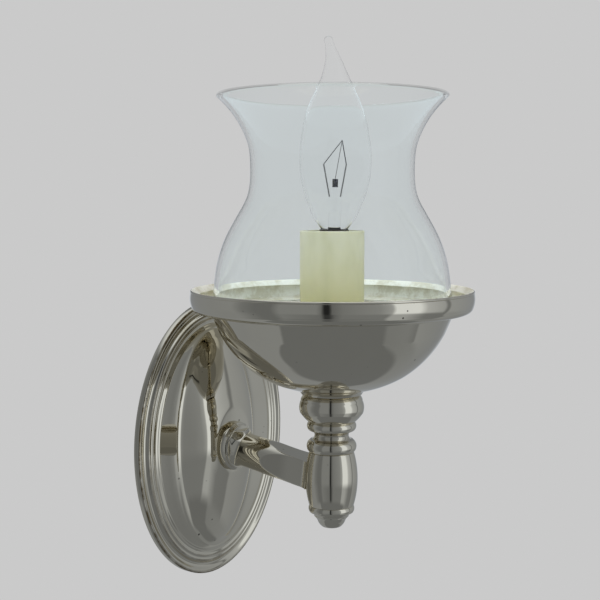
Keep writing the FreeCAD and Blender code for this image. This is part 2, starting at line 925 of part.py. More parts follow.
def make_socket_body():
    body = Part.makeCylinder(socket_radius, socket_height, V(0, 0, socket_bottom))
    well = Part.makeCylinder(screw_shell_radius, socket_height, V(0, 0, well_floor))
    body = body.cut(well)
    body = body.cut(Part.makeCylinder(
        bracket_screw_radius, bracket_screw_grip + overrun, V(0, 0, socket_bottom - overrun)
    ))
    floor = socket_radius - terminal_pocket_depth
    top = terminal_height + terminal_pocket_width / 2
    for side in (-1, 1):
        corner = V(floor, -terminal_pocket_width / 2, socket_bottom)
        pocket = Part.makeBox(overrun, terminal_pocket_width, top, corner)
        hole = Part.makeCylinder(
            terminal_shank_radius, terminal_shank_length,
            V(floor, 0, socket_bottom + terminal_height), V(-1, 0, 0),
        )
        for tool in (pocket, hole):
            if side < 0:
                tool = tool.mirror(V(0, 0, 0), V(1, 0, 0))
            body = body.cut(tool)
    return leaned(on_column(body))


def make_terminal_screw(side):
    floor = socket_radius - terminal_pocket_depth
    height = socket_bottom + terminal_height
    head = Part.makeCylinder(
        terminal_head_radius, terminal_head_thickness, V(floor, 0, height), V(1, 0, 0)
    )
    shank = Part.makeCylinder(
        terminal_shank_radius, terminal_shank_length, V(floor, 0, height), V(-1, 0, 0)
    )
    screw = head.fuse(shank)
    if side < 0:
        screw = screw.mirror(V(0, 0, 0), V(1, 0, 0))
    return leaned(on_column(screw))


def make_socket_liner():
    liner = ring(socket_radius + liner_wall, socket_radius, socket_bottom, socket_top)
    return leaned(on_column(liner))


def make_screw_shell():
    bottom = socket_top - screw_shell_length
    shell = ring(screw_shell_radius, screw_shell_radius - screw_shell_wall, bottom, socket_top)
    return leaned(on_column(shell))


def make_socket_contact():
    plate = Part.makeCylinder(
        contact_plate_radius, contact_plate_thickness, V(0, 0, well_floor)
    )
    spring = Part.makeCylinder(button_radius, contact_top - well_floor, V(0, 0, well_floor))
    return leaned(on_column(plate.fuse(spring)))


def make_lead(side):
    """One insulated wire, from its terminal down the column and back through the arm."""
    beside = side * lead_spacing / 2
    out = side * (socket_radius - terminal_pocket_depth + lead_radius + thread_gap)
    top = socket_bottom + terminal_height - terminal_head_radius - thread_gap
    wall_end = nipple_set_back + strap_thickness
    slope = arm_drop / (reach - plate_depth)
    knee = socket_bottom - bracket_height * lead_knee_share
    points = [
        V(out, axis_y, top),
        V(out, axis_y, knee),
        V(beside, axis_y, pipe_top + lead_rise),
        V(beside, axis_y, -arm_drop),
        V(beside, -plate_depth - nipple_grip, -nipple_grip * slope),
        V(beside, -wall_end, 0),
    ]
    return tube_along(points, lead_bend, lead_radius)


# Lamp.

# Height above the cap as a share of the bulb's height, radius as a share of the largest,
# and the tip's shift as a share of its full shift.
bulb_shares = [
    (0.0, 0.37, 0.0),
    (0.012, 0.415, 0.0),
    (0.05, 0.565, 0.0),
    (0.103, 0.7, 0.0),
    (0.187, 0.867, 0.0),
    (0.285, 0.975, 0.0),
    (0.383, 1.0, 0.02),
    (0.481, 0.947, 0.07),
    (0.581, 0.85, 0.12),
    (0.689, 0.648, 0.15),
    (0.777, 0.41, 0.18),
    (0.873, 0.232, 0.41),
    (0.942, 0.14, 0.78),
    (0.972, 0.127, 0.97),
]
bulb_hollow_rows = 12


def bulb_rings(thinner, count):
    """Circles up the bulb, each shifted towards the wall by its share of the bend."""
    rings = []
    for height_share, radius_share, shift_share in bulb_shares[:count]:
        centre = V(0, shift_share * tip_shift, cap_top + height_share * bulb_height)
        rings.append(Part.Wire(Part.makeCircle(radius_share * bulb_radius - thinner, centre)))
    return rings


def make_bulb_envelope():
    glass = outward(Part.makeLoft(bulb_rings(0, len(bulb_shares)), True, False))
    hollow = outward(Part.makeLoft(bulb_rings(bulb_wall, bulb_hollow_rows), True, False))
    tip = Part.makeSphere(tip_radius, V(0, tip_shift, cap_top + bulb_height - tip_radius))
    neck = Part.makeCylinder(bulb_neck_radius, bulb_neck_length, V(0, 0, cap_top - bulb_neck_length))
    throat = Part.makeCylinder(
        bulb_neck_radius - bulb_wall, bulb_neck_length + bulb_wall, V(0, 0, cap_top - bulb_neck_length)
    )
    return leaned(on_column(glass.fuse([tip, neck]).cut(hollow).cut(throat)))


def make_bulb_stem():
    bottom = cap_top - bulb_neck_length
    flare = turned(
        (0, bottom - bulb_wall),
        (bulb_neck_radius, bottom - bulb_wall),
        (bulb_neck_radius, bottom),
        (bulb_neck_radius - bulb_wall - thread_gap, bottom),
        (stem_radius, bottom + bulb_neck_radius),
        (stem_radius, cap_top + stem_height / 2),
        (0, cap_top + stem_height / 2),
    )
    pinch = Part.makeBox(
        pinch_width, pinch_thickness, stem_height / 2 + bulb_wall,
        V(-pinch_width / 2, -pinch_thickness / 2, cap_top + stem_height / 2 - bulb_wall),
    )
    top = cap_top + stem_height + bead_rise
    post = Part.makeCylinder(rod_radius, bead_rise + bulb_wall, V(0, 0, top - bead_rise - bulb_wall))
    stem = flare.fuse([pinch, post])
    return in_bulb(stem)


def in_bulb(shape):
    """A piece of the lamp's inside, turned with the filament and leaning with the socket."""
    shape.rotate(V(0, 0, 0), V(0, 0, 1), filament_turn_deg)
    return leaned(on_column(shape))


def make_bulb_bead():
    bottom = cap_top + stem_height + bead_rise
    return in_bulb(Part.makeCylinder(bead_radius, bead_height, V(0, 0, bottom)))


def support_top(side):
    height = cap_top + stem_height + support_height
    return V((-support_left, support_right)[side], 0, height)


def support_wire(side):
    """A support wire before the lamp is turned, from the pinch to the filament's end."""
    foot = V((-1, 1)[side] * (pinch_width / 2 - support_radius * 2), 0, cap_top + stem_height)
    return rod(foot, support_top(side), support_radius)


def filament_apex():
    height = cap_top + stem_height + support_height + filament_height
    return V(filament_apex_shift, 0, height)


def make_hook():
    """The middle support, from the glass bead up to the top of the filament."""
    foot = V(0, 0, cap_top + stem_height + bead_rise + bead_height)
    return in_bulb(rod(foot, filament_apex(), support_radius / 2).cut(filament_wire()))


def filament_wire():
    """The filament before the lamp is turned, from one support over the hook to the other."""
    return bent_rod([support_top(0), filament_apex(), support_top(1)], filament_radius)


def make_filament():
    wire = filament_wire()
    for side in (0, 1):
        wire = wire.cut(support_wire(side))
    return in_bulb(wire)


def make_cap():
    wall = cap_wall
    rim = cap_top - cap_rim_height
    cap = turned(
        (insulator_tip_radius, cap_bottom),
        (cap_radius, cap_bottom),
        (cap_radius, rim),
        (cap_rim_radius, rim + cap_rim_height / 2),
        (cap_rim_radius, cap_top),
        (cap_rim_radius - wall, cap_top),
        (cap_rim_radius - wall, rim + cap_rim_height / 2),
        (cap_radius - wall, rim),
        (cap_radius - wall, cap_bottom + wall),
        (insulator_tip_radius, cap_bottom + wall),
    )
    return leaned(on_column(cap))


def make_insulator():
    insulator = turned(
        (0, insulator_bottom),
        (insulator_tip_radius, insulator_bottom),
        (cap_radius - cap_wall, cap_bottom),
        (0, cap_bottom),
    )
    return leaned(on_column(insulator))


def make_button():
    button = turned(
        (0, button_bottom),
        (button_radius / 2, button_bottom),
        (button_radius, insulator_bottom),
        (0, insulator_bottom),
    )
    return leaned(on_column(button))


# All the pieces.

lock_nut_distance = strap_thickness
plate_nut_distance = plate_depth - plate_wall - washer_thickness - nut_thickness

pieces = {
    "backplate": make_backplate(),
    "mounting_strap": make_strap(),
    "ground_screw": make_ground_screw(),
    "wall_nipple": make_nipple(),
    "strap_locknut": make_wall_nut(lock_nut_distance),
    "plate_locknut": make_wall_nut(plate_nut_distance),
    "plate_washer": make_plate_washer(),
    "arm": make_arm(),
    "hub": make_hub(),
    "bottom_finial": make_finial(),
    "neck_collar": make_collar(),
    "bowl_seat_ring": make_seat_ring(),
    "center_pipe": make_center_pipe(),
    "bowl": make_bowl(),
    "bowl_clamp_seat": make_bowl_seat(),
    "bowl_locknut": make_bowl_nut(),
    "glass_shade": make_shade(),
    "candle_sleeve": make_sleeve(),
    "socket_bracket": make_bracket(),
    "bracket_screw": make_bracket_screw(),
    "socket_body": make_socket_body(),
    "socket_liner": make_socket_liner(),
    "socket_screw_shell": make_screw_shell(),
    "socket_contact": make_socket_contact(),
    "terminal_screw_hot": make_terminal_screw(1),
    "terminal_screw_neutral": make_terminal_screw(-1),
    "lead_hot": make_lead(1),
    "lead_neutral": make_lead(-1),
    "bulb_envelope": make_bulb_envelope(),
    "bulb_stem": make_bulb_stem(),
    "bulb_bead": make_bulb_bead(),
    "bulb_support_left": in_bulb(support_wire(0)),
    "bulb_support_right": in_bulb(support_wire(1)),
    "bulb_hook_wire": make_hook(),
    "bulb_filament": make_filament(),
    "bulb_base_shell": make_cap(),
    "bulb_base_insulator": make_insulator(),
    "bulb_contact": make_button(),
}

os.makedirs("parts", exist_ok=True)
for name, shape in pieces.items():
    shape.exportStep(os.path.join("parts", name + ".step"))
    box = shape.BoundBox
    print(
        name, "solids", len(shape.Solids), "valid", shape.isValid(),
        "volume", round(shape.Volume, 1),
        "x", round(box.XMin, 1), round(box.XMax, 1),
        "y", round(box.YMin, 1), round(box.YMax, 1),
        "z", round(box.ZMin, 1), round(box.ZMax, 1),
    )
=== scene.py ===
"""Wall lamp with an oval plate, a faceted arm, a turned column, a spun bowl and a glass shade."""

import json
import math

import bmesh
import bpy
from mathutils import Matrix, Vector, noise


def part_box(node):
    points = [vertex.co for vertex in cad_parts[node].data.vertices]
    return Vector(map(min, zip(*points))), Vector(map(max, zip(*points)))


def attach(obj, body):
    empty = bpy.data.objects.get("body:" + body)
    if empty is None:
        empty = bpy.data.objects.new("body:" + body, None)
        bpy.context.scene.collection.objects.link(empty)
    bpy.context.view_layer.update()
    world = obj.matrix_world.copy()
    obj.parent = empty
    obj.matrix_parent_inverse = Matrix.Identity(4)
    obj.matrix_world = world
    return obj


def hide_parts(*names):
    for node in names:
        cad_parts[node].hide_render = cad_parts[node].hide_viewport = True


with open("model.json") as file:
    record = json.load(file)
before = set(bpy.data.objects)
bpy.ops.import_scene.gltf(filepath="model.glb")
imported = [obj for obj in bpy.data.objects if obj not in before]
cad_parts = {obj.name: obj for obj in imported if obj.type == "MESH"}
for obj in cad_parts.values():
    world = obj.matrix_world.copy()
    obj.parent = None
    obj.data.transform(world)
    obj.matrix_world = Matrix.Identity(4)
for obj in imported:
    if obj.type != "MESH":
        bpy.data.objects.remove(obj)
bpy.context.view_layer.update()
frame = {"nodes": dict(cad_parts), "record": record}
MM = 0.001

# Places read from the frame. The boxes and COLUMN are in metres, the rest in millimetres.
HUB_LOW, HUB_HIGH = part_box("hub")
BOWL_LOW, BOWL_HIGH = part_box("bowl")
COLUMN_Y = (BOWL_LOW.y + BOWL_HIGH.y) / 2 / MM
HUB_BOTTOM, HUB_TOP = HUB_LOW.z / MM, HUB_HIGH.z / MM
RING_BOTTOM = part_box("bowl_seat_ring")[0].z / MM
BOWL_BOTTOM = BOWL_LOW.z / MM
SHADE_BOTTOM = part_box("glass_shade")[0].z / MM
SLEEVE_LOW, SLEEVE_HIGH = (corner.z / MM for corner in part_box("candle_sleeve"))
COLUMN = Vector((0, COLUMN_Y * MM, 0))

# Camera at the photograph's angle: its place in metres, its lens in millimetres.
CAMERA_PLACE = Vector((-0.4006, -0.3462, 0.1179))
CAMERA_AZIMUTH = math.radians(-53.88)
CAMERA_PITCH = math.radians(5.279)
CAMERA_LENS = 66.04
CAMERA_SENSOR = 36.0

# Studio: greys, and sizes in metres. The soft light is what the world gives to all that isn't
# looked at directly. It is above 1 because the shade keeps part of it from the sleeve.
BACKDROP_GREY = 0.591
SOFT_LIGHT = 1.5
FLOOR_HEIGHT = -0.62
FLOOR_SIZE = 6.0
FLOOR_GREY = 0.37
FLOOR_FADES_FROM, FLOOR_FADES_TO = 0.1, 0.9
ROOM_RADIUS = 2.4

# The pieces: the pipe's hole in millimetres, steps round each, and the angle of a sharp edge.
PIPE_HOLE = 5.05
SIDES = {"column": 176, "bowl": 256, "shade": 224, "sleeve": 160, "lamp": 128, "plate": 288,
         "arm": 288}
CREASE = math.radians(42)


def placed(name, data):
    """A new object in the scene."""
    thing = bpy.data.objects.new(name, data)
    bpy.context.scene.collection.objects.link(thing)
    return thing


def add_camera():
    data = bpy.data.cameras.new("camera")
    data.lens = CAMERA_LENS
    data.sensor_width = CAMERA_SENSOR
    data.clip_start = 0.01
    data.clip_end = 20.0
    camera = placed("camera", data)
    camera.location = CAMERA_PLACE
    camera.rotation_euler = (math.pi / 2 - CAMERA_PITCH, 0, CAMERA_AZIMUTH)
    bpy.context.scene.camera = camera


class Nodes:
    """Adds shader nodes to a tree and joins them."""

    def __init__(self, tree):
        self.tree = tree

    def add(self, kind, **settings):
        node = self.tree.nodes.new(kind)
        for name, value in settings.items():
            setattr(node, name, value)
        return node

    def set(self, socket, value):
        if isinstance(value, bpy.types.NodeSocket):
            self.tree.links.new(value, socket)
        else:
            socket.default_value = value

    def math(self, operation, first, second=0.0, third=0.0):
        node = self.add("ShaderNodeMath", operation=operation)
        for socket, value in zip(node.inputs, (first, second, third)):
            self.set(socket, value)
        return node.outputs[0]

    def vector(self, operation, first, second=(0, 0, 0)):
        node = self.add("ShaderNodeVectorMath", operation=operation)
        self.set(node.inputs[0], first)
        self.set(node.inputs[1], second)
        return node.outputs["Value" if operation in ("DOT_PRODUCT", "LENGTH") else "Vector"]

    def mix(self, share, first, second):
        node = self.add("ShaderNodeMix", data_type="RGBA")
        self.set(node.inputs[0], share)
        self.set(node.inputs[6], first)
        self.set(node.inputs[7], second)
        return node.outputs[2]

    def noise(self, vector, scale, detail=2.0, roughness=0.5):
        node = self.add("ShaderNodeTexNoise")
        self.set(node.inputs["Vector"], vector)
        node.inputs["Scale"].default_value = scale
        node.inputs["Detail"].default_value = detail
        node.inputs["Roughness"].default_value = roughness
        return node.outputs[0]

    def place(self):
        """A place in the object's own space."""
        return self.add("ShaderNodeTexCoord").outputs["Object"]

    def bump(self, height, strength, distance):
        node = self.add("ShaderNodeBump")
        node.inputs["Strength"].default_value = strength
        node.inputs["Distance"].default_value = distance
        self.set(node.inputs["Height"], height)
        return node.outputs[0]

    def step(self, value, low, high):
        """0 at low, 1 at high and smooth between. Low may be the larger of the two."""
        node = self.add("ShaderNodeMapRange", interpolation_type="SMOOTHSTEP")
        for socket, v in zip(node.inputs, (value, low, high, 0.0, 1.0)):
            self.set(socket, v)
        return node.outputs[0]

    def mark(self, name):
        """A value that the mesh carries on its points."""
        return self.add("ShaderNodeAttribute", attribute_name=name).outputs["Fac"]

    def ramp(self, value, stops):
        """Greys along a table of places from 0 to 1."""
        node = self.add("ShaderNodeValToRGB")
        elements = node.color_ramp.elements
        elements[0].position, elements[0].color = stops[0][0], grey(stops[0][1])
        elements[1].position, elements[1].color = stops[-1][0], grey(stops[-1][1])
        for place, level in stops[1:-1]:
            elements.new(place).color = grey(level)
        self.set(node.inputs[0], value)
        return node.outputs[0]


def grey(value):
    return (value, value, value, 1.0)


def bare_material(name):
    """A material with an empty node tree, and what adds nodes to it."""
    material = bpy.data.materials.new(name)
    material.use_nodes = True
    material.node_tree.nodes.clear()
    return material, Nodes(material.node_tree)


def add_world():
    world = bpy.data.worlds.new("studio")
    bpy.context.scene.world = world
    world.use_nodes = True
    tree = world.node_tree
    tree.nodes.clear()
    n = Nodes(tree)
    path = n.add("ShaderNodeLightPath")
    seen = n.math("MAXIMUM", path.outputs["Is Camera Ray"], path.outputs["Is Glossy Ray"])
    seen = n.math("MAXIMUM", seen, path.outputs["Is Transmission Ray"])
    seen = n.math("MULTIPLY", seen, n.math("LESS_THAN", path.outputs["Diffuse Depth"], 0.5))
    background = n.add("ShaderNodeBackground")
    n.set(background.inputs["Color"], n.mix(seen, grey(SOFT_LIGHT), grey(BACKDROP_GREY)))
    background.inputs["Strength"].default_value = 1.0
    n.set(n.add("ShaderNodeOutputWorld").inputs[0], background.outputs[0])


# What the metal mirrors, in three tables: degrees round from the camera, positive to its
# right, and the grey level there. Most of the levels were worked out from brightness read off
# the photograph's reflections, and were then adjusted and some of them rounded. So this isn't
# a plain studio. The stripe near 100 degrees stands for nothing that was seen there: it only
# darkens the plate's field.
ROUND_THE_ROOM = [
    (-180, 0.55), (-165, 0.50), (-158, 0.25), (-85, 0.27), (-75, 0.20), (-62, 0.16),
    (-48, 0.16), (-41, 0.24), (-12, 0.24), (-8, 0.16), (-6.5, 0.02), (-2, 0.02), (0, 0.15),
    (8, 0.21), (36, 0.27), (46, 0.38), (49, 0.82), (70, 0.82), (77, 0.50), (96, 0.38),
    (99, 0.19), (101, 0.19), (104, 0.35), (150, 0.26), (168, 0.54), (180, 0.55),
]
# The same lower down. One table gives way to the next between the degrees up that follow it.
LOW_ROUND_THE_ROOM = [
    (-180, 0.40), (-168, 0.26), (-84, 0.26), (-70, 0.20), (-60, 0.16), (-48, 0.16),
    (-41, 0.22), (-9, 0.17), (-6, 0.04), (-2, 0.04), (2, 0.14), (8, 0.20), (44, 0.21),
    (48, 0.40), (60, 0.40), (80, 0.20), (101, 0.19), (103, 0.30), (140, 0.25),
    (168, 0.28), (180, 0.40),
]
LOW_FROM, LOW_TO = -13.0, -21.0
# And further down.
BELOW = [
    (-180, 0.30), (-120, 0.27), (-62, 0.27), (-57, 0.165), (63, 0.165), (68, 0.225),
    (150, 0.26), (180, 0.30),
]
BELOW_FROM, BELOW_TO = -34.0, -40.0
# The third table is drawn out towards the bottom: its degrees are divided by this slope times
# the degrees up, plus the offset.
SPREAD_SLOPE, SPREAD_OFFSET = -0.05, -1.4
# One grey at the bottom, which begins higher on the right.
DEEP_FROM, DEEP_TO = -64.0, -69.0
DEEP_GREY = 0.165
RIGHT_FROM, RIGHT_TO = -48.0, -53.0
RIGHT_SIDE_FROM, RIGHT_SIDE_TO = 55.0, 65.0
ABOVE_FROM, ABOVE_TO = 48.0, 66.0
ABOVE_GREY = 0.70
# One grey behind the lamp, above these degrees up.
BEHIND_FROM, BEHIND_TO = 150.0, 160.0
BEHIND_RISE_FROM, BEHIND_RISE_TO = 1.0, 7.0
BEHIND_GREY = 0.20
# The room is slightly blue, and is one pale colour for what is reflected inside the glass.
ROOM_TINT = (0.995, 1.06, 1.15, 1.0)
ROOM_IN_GLASS = (0.95, 1.10, 1.16, 1.0)


def levels_round(n, degrees, table):
    """The grey of a table at so many degrees round."""
    turn = n.math("MULTIPLY_ADD", degrees, 1 / 360, 0.5)
    return n.ramp(turn, [((a + 180) / 360, level) for a, level in table])


def add_room():
    """A ball round the lamp that only reflections see, with the greys above."""
    mesh = bpy.data.meshes.new("studio_room")
    ball = bmesh.new()
    bmesh.ops.create_icosphere(ball, subdivisions=5, radius=ROOM_RADIUS)
    bmesh.ops.reverse_faces(ball, faces=ball.faces)
    ball.to_mesh(mesh)
    ball.free()
    room = placed("studio_room", mesh)
    for ray in ("camera", "diffuse", "transmission", "volume_scatter", "shadow"):
        setattr(room, "visible_" + ray, False)
    material, n = bare_material("studio_room")
    place = n.vector("NORMALIZE", n.place())
    ahead = n.vector("DOT_PRODUCT", place,
                     (math.sin(CAMERA_AZIMUTH), -math.cos(CAMERA_AZIMUTH), 0))
    right = n.vector("DOT_PRODUCT", place, (math.cos(CAMERA_AZIMUTH), math.sin(CAMERA_AZIMUTH), 0))
    upward = n.vector("DOT_PRODUCT", place, (0, 0, 1))
    azimuth = n.math("DEGREES", n.math("ARCTAN2", right, ahead))
    elevation = n.math("DEGREES", n.math("ARCSINE", upward))
    walls = levels_round(n, azimuth, ROUND_THE_ROOM)
    low = levels_round(n, azimuth, LOW_ROUND_THE_ROOM)
    spread = n.math("MULTIPLY_ADD", elevation, SPREAD_SLOPE, SPREAD_OFFSET)
    spread = n.math("DIVIDE", azimuth, n.math("MAXIMUM", 1.0, spread))
    floor = levels_round(n, spread, BELOW)
    colour = n.mix(n.step(elevation, LOW_TO, LOW_FROM), low, walls)
    floor = n.mix(n.step(elevation, DEEP_TO, DEEP_FROM), grey(DEEP_GREY), floor)
    right_side = n.math("MULTIPLY", n.step(azimuth, RIGHT_SIDE_FROM, RIGHT_SIDE_TO),
                        n.step(elevation, RIGHT_FROM, RIGHT_TO))
    floor = n.mix(right_side, floor, grey(DEEP_GREY))
    colour = n.mix(n.step(elevation, BELOW_TO, BELOW_FROM), floor, colour)
    behind = n.step(n.math("ABSOLUTE", azimuth), BEHIND_FROM, BEHIND_TO)
    behind = n.math("MULTIPLY", behind, n.step(elevation, BEHIND_RISE_FROM, BEHIND_RISE_TO))
    colour = n.mix(behind, colour, grey(BEHIND_GREY))
    colour = n.mix(n.step(elevation, ABOVE_FROM, ABOVE_TO), colour, grey(ABOVE_GREY))
    tinted = n.add("ShaderNodeMix", data_type="RGBA", blend_type="MULTIPLY")
    tinted.inputs[0].default_value = 1.0
    n.set(tinted.inputs[6], colour)
    tinted.inputs[7].default_value = ROOM_TINT
    depth = n.add("ShaderNodeLightPath").outputs["Transmission Depth"]
    in_glass = n.math("GREATER_THAN", depth, 0.5)
    glow = n.add("ShaderNodeEmission")
    n.set(glow.inputs["Color"], n.mix(in_glass, tinted.outputs[2], ROOM_IN_GLASS))
    n.set(n.add("ShaderNodeOutputMaterial").inputs[0], glow.outputs[0])
    mesh.materials.append(material)


def add_floor():
    mesh = bpy.data.meshes.new("floor")
    half = FLOOR_SIZE / 2
    mesh.from_pydata([(-half, -half, FLOOR_HEIGHT), (half, -half, FLOOR_HEIGHT),
                      (half, half, FLOOR_HEIGHT), (-half, half, FLOOR_HEIGHT)], [], [(0, 1, 2, 3)])
    floor = placed("floor", mesh)
    floor.visible_glossy = False
    material, n = bare_material("floor")
    away = n.vector("LENGTH", n.vector("MULTIPLY", n.place(), (1, 1, 0)))
    paint = n.add("ShaderNodeBsdfDiffuse")
    paint.inputs["Color"].default_value = grey(FLOOR_GREY)
    glow = n.add("ShaderNodeEmission")
    glow.inputs["Color"].default_value = grey(BACKDROP_GREY)
    path = n.add("ShaderNodeLightPath")
    seen = n.math("MAXIMUM", path.outputs["Is Camera Ray"], path.outputs["Is Transmission Ray"])
    share = n.step(away, FLOOR_FADES_FROM, FLOOR_FADES_TO)
    share = n.math("MAXIMUM", share, n.math("SUBTRACT", 1.0, seen))
    blend = n.add("ShaderNodeMixShader")
    n.set(blend.inputs[0], share)
    n.set(blend.inputs[1], paint.outputs[0])
    n.set(blend.inputs[2], glow.outputs[0])
    n.set(n.add("ShaderNodeOutputMaterial").inputs[0], blend.outputs[0])
    mesh.materials.append(material)


# Each lamp's degrees round from the camera and up, its distance and size in metres, and its
# power in watts.
LAMPS = {
    "key": (55, 25, 1.5, 0.9, 4.0),
    "fill": (-75, 30, 1.6, 1.0, 2.0),
    "top": (0, 80, 1.5, 1.0, 2.0),
}


def add_lamps():
    for name, (azimuth, elevation, distance, size, power) in LAMPS.items():
        data = bpy.data.lights.new(name, "AREA")
        data.shape = "DISK"
        data.size = size
        data.energy = power
        lamp = placed(name, data)
        turn = CAMERA_AZIMUTH + math.radians(azimuth)
        rise = math.radians(elevation)
        way = Vector((math.sin(turn) * math.cos(rise), -math.cos(turn) * math.cos(rise),
                      math.sin(rise)))
        lamp.location = COLUMN + way * distance
        lamp.rotation_euler = way.to_track_quat("Z", "Y").to_euler()
        lamp.visible_camera = False
        lamp.visible_glossy = False
        lamp.visible_transmission = False


# Finishes.

def new_material(name):
    material = bpy.data.materials.new(name)
    material.use_nodes = True
    n = Nodes(material.node_tree)
    shader = material.node_tree.nodes["Principled BSDF"]
    return material, n, shader


def spots_group():
    """Mask of small round spots scattered through space, with a rough edge."""
    tree = bpy.data.node_groups.new("small_spots", "ShaderNodeTree")
    face = tree.interface
    face.new_socket("Place", in_out="INPUT", socket_type="NodeSocketVector")
    face.new_socket("Spacing scale", in_out="INPUT", socket_type="NodeSocketFloat")
    face.new_socket("Spot size", in_out="INPUT", socket_type="NodeSocketFloat")
    face.new_socket("Mask", in_out="OUTPUT", socket_type="NodeSocketFloat")
    n = Nodes(tree)
    inputs = n.add("NodeGroupInput").outputs
    cells = n.add("ShaderNodeTexVoronoi")
    n.set(cells.inputs["Vector"], inputs["Place"])
    n.set(cells.inputs["Scale"], inputs["Spacing scale"])
    uneven = n.math("POWER", n.noise(inputs["Place"], 310.0), 2.0)
    size = n.math("MULTIPLY", inputs["Spot size"], uneven)
    mask = n.step(cells.outputs["Distance"], n.math("MULTIPLY", size, 1.4),
                  n.math("MULTIPLY", size, 0.6))
    n.set(n.add("NodeGroupOutput").inputs["Mask"], mask)
    return tree


# Pairs of colours that are mixed by noise. The bowl's inside loses part of its metal's shine.
CLEAN_NICKEL = ((0.71, 0.66, 0.545, 1), (0.765, 0.725, 0.61, 1))
DULL_NICKEL = ((0.93, 0.91, 0.81, 1), (0.72, 0.68, 0.54, 1))
# Grime and painted shade, which darken the hollows.
GRIME_AND_SHADE_COLOUR = (0.19, 0.14, 0.07, 1)
PIT_COLOUR = (0.12, 0.11, 0.09, 1)
METAL_LOST_INSIDE = 0.75


def nickel():
    """Nickel with grime and painted shade in its hollows, small pits and a duller inside."""
    material, n, shader = new_material("polished_nickel")
    place = n.place()
    cloud = n.noise(place, 38.0, 4.0, 0.6)
    blotch = n.noise(place, 120.0, 5.0, 0.65)
    groove = n.mark("groove")
    inside = n.mark("inside")
    spots = n.add("ShaderNodeGroup", node_tree=spots_group())
    n.set(spots.inputs["Place"], place)
    spots.inputs["Spacing scale"].default_value = 240.0
    spots.inputs["Spot size"].default_value = 0.30
    # The hollows are darkened in patches, by grime and by painted shade.
    grime_and_shade = n.math("MULTIPLY", groove, n.step(blotch, 0.30, 0.60))
    clean = n.mix(cloud, *CLEAN_NICKEL)
    dull = n.mix(n.step(blotch, 0.42, 0.62), *DULL_NICKEL)
    colour = n.mix(inside, clean, dull)
    colour = n.mix(grime_and_shade, colour, GRIME_AND_SHADE_COLOUR)
    pitted = n.math("MULTIPLY", spots.outputs[0], n.step(cloud, 0.50, 0.62))
    colour = n.mix(pitted, colour, PIT_COLOUR)
    metal = n.math("MULTIPLY_ADD", inside, -METAL_LOST_INSIDE, 1.0)
    n.set(shader.inputs["Metallic"], metal)
    n.set(shader.inputs["Base Color"], colour)
    rough = n.math("MULTIPLY", cloud, 0.03)
    rough = n.math("MULTIPLY_ADD", grime_and_shade, 0.30, rough)
    rough = n.math("MULTIPLY_ADD", inside, 0.33, rough)
    rough = n.math("MULTIPLY_ADD", pitted, 0.35, rough)
    n.set(shader.inputs["Roughness"], rough)
    height = n.math("MULTIPLY_ADD", blotch, 0.35, n.math("MULTIPLY", cloud, 1.6))
    n.set(shader.inputs["Normal"], n.bump(height, 0.25, 0.00006))
    return material


def plain_metal(name, colour, roughness):
    material, n, shader = new_material(name)
    cloud = n.noise(n.place(), 300.0, 3.0, 0.6)
    darker = tuple(0.8 * c for c in colour)
    shader.inputs["Metallic"].default_value = 1.0
    n.set(shader.inputs["Base Color"], n.mix(cloud, (*darker, 1), (*colour, 1)))
    n.set(shader.inputs["Roughness"], n.math("MULTIPLY_ADD", cloud, 0.2, roughness))
    return material


def plain_paint(name, colour, roughness):
    material, n, shader = new_material(name)
    cloud = n.noise(n.place(), 200.0, 3.0, 0.6)
    darker = tuple(0.85 * c for c in colour)
    n.set(shader.inputs["Base Color"], n.mix(cloud, (*darker, 1), (*colour, 1)))
    shader.inputs["Roughness"].default_value = roughness
    return material


LIP_CLEARNESS = 0.85


def clear_glass(name, colour, waviness, wave_scale, index, lip_colour=None):
    """Glass with a faint waviness. Its index is under real glass's, to keep the edges faint."""
    material, n, shader = new_material(name)
    shader.inputs["Base Color"].default_value = (*colour, 1)
    if lip_colour:
        lip = n.mark("lip")
        n.set(shader.inputs["Alpha"], n.math("MULTIPLY_ADD", lip, -LIP_CLEARNESS, 1.0))
        n.set(shader.inputs["Base Color"], n.mix(lip, (*colour, 1), (*lip_colour, 1)))
    wave = n.noise(n.place(), wave_scale, 1.0, 0.4)
    n.set(shader.inputs["Normal"], n.bump(wave, waviness, 0.0005))
    shader.inputs["Roughness"].default_value = 0.0
    shader.inputs["IOR"].default_value = index
    shader.inputs["Transmission Weight"].default_value = 1.0
    return material


# Heights in metres between which the resin's colour, its veins and its darker foot change.
RESIN_CHANGES = (0.046, 0.108)
RESIN_VEINS = (0.085, 0.055)
RESIN_FOOT = (0.062, 0.046)
FOOT_COLOUR, TOP_COLOUR = (0.48, 0.44, 0.145, 1), (0.62, 0.62, 0.47, 1)
PATCH_COLOUR = (0.44, 0.44, 0.24, 1)
VEIN_COLOUR = (0.30, 0.28, 0.12, 1)
FOOT_DARKENING_COLOUR = (0.44, 0.39, 0.12, 1)


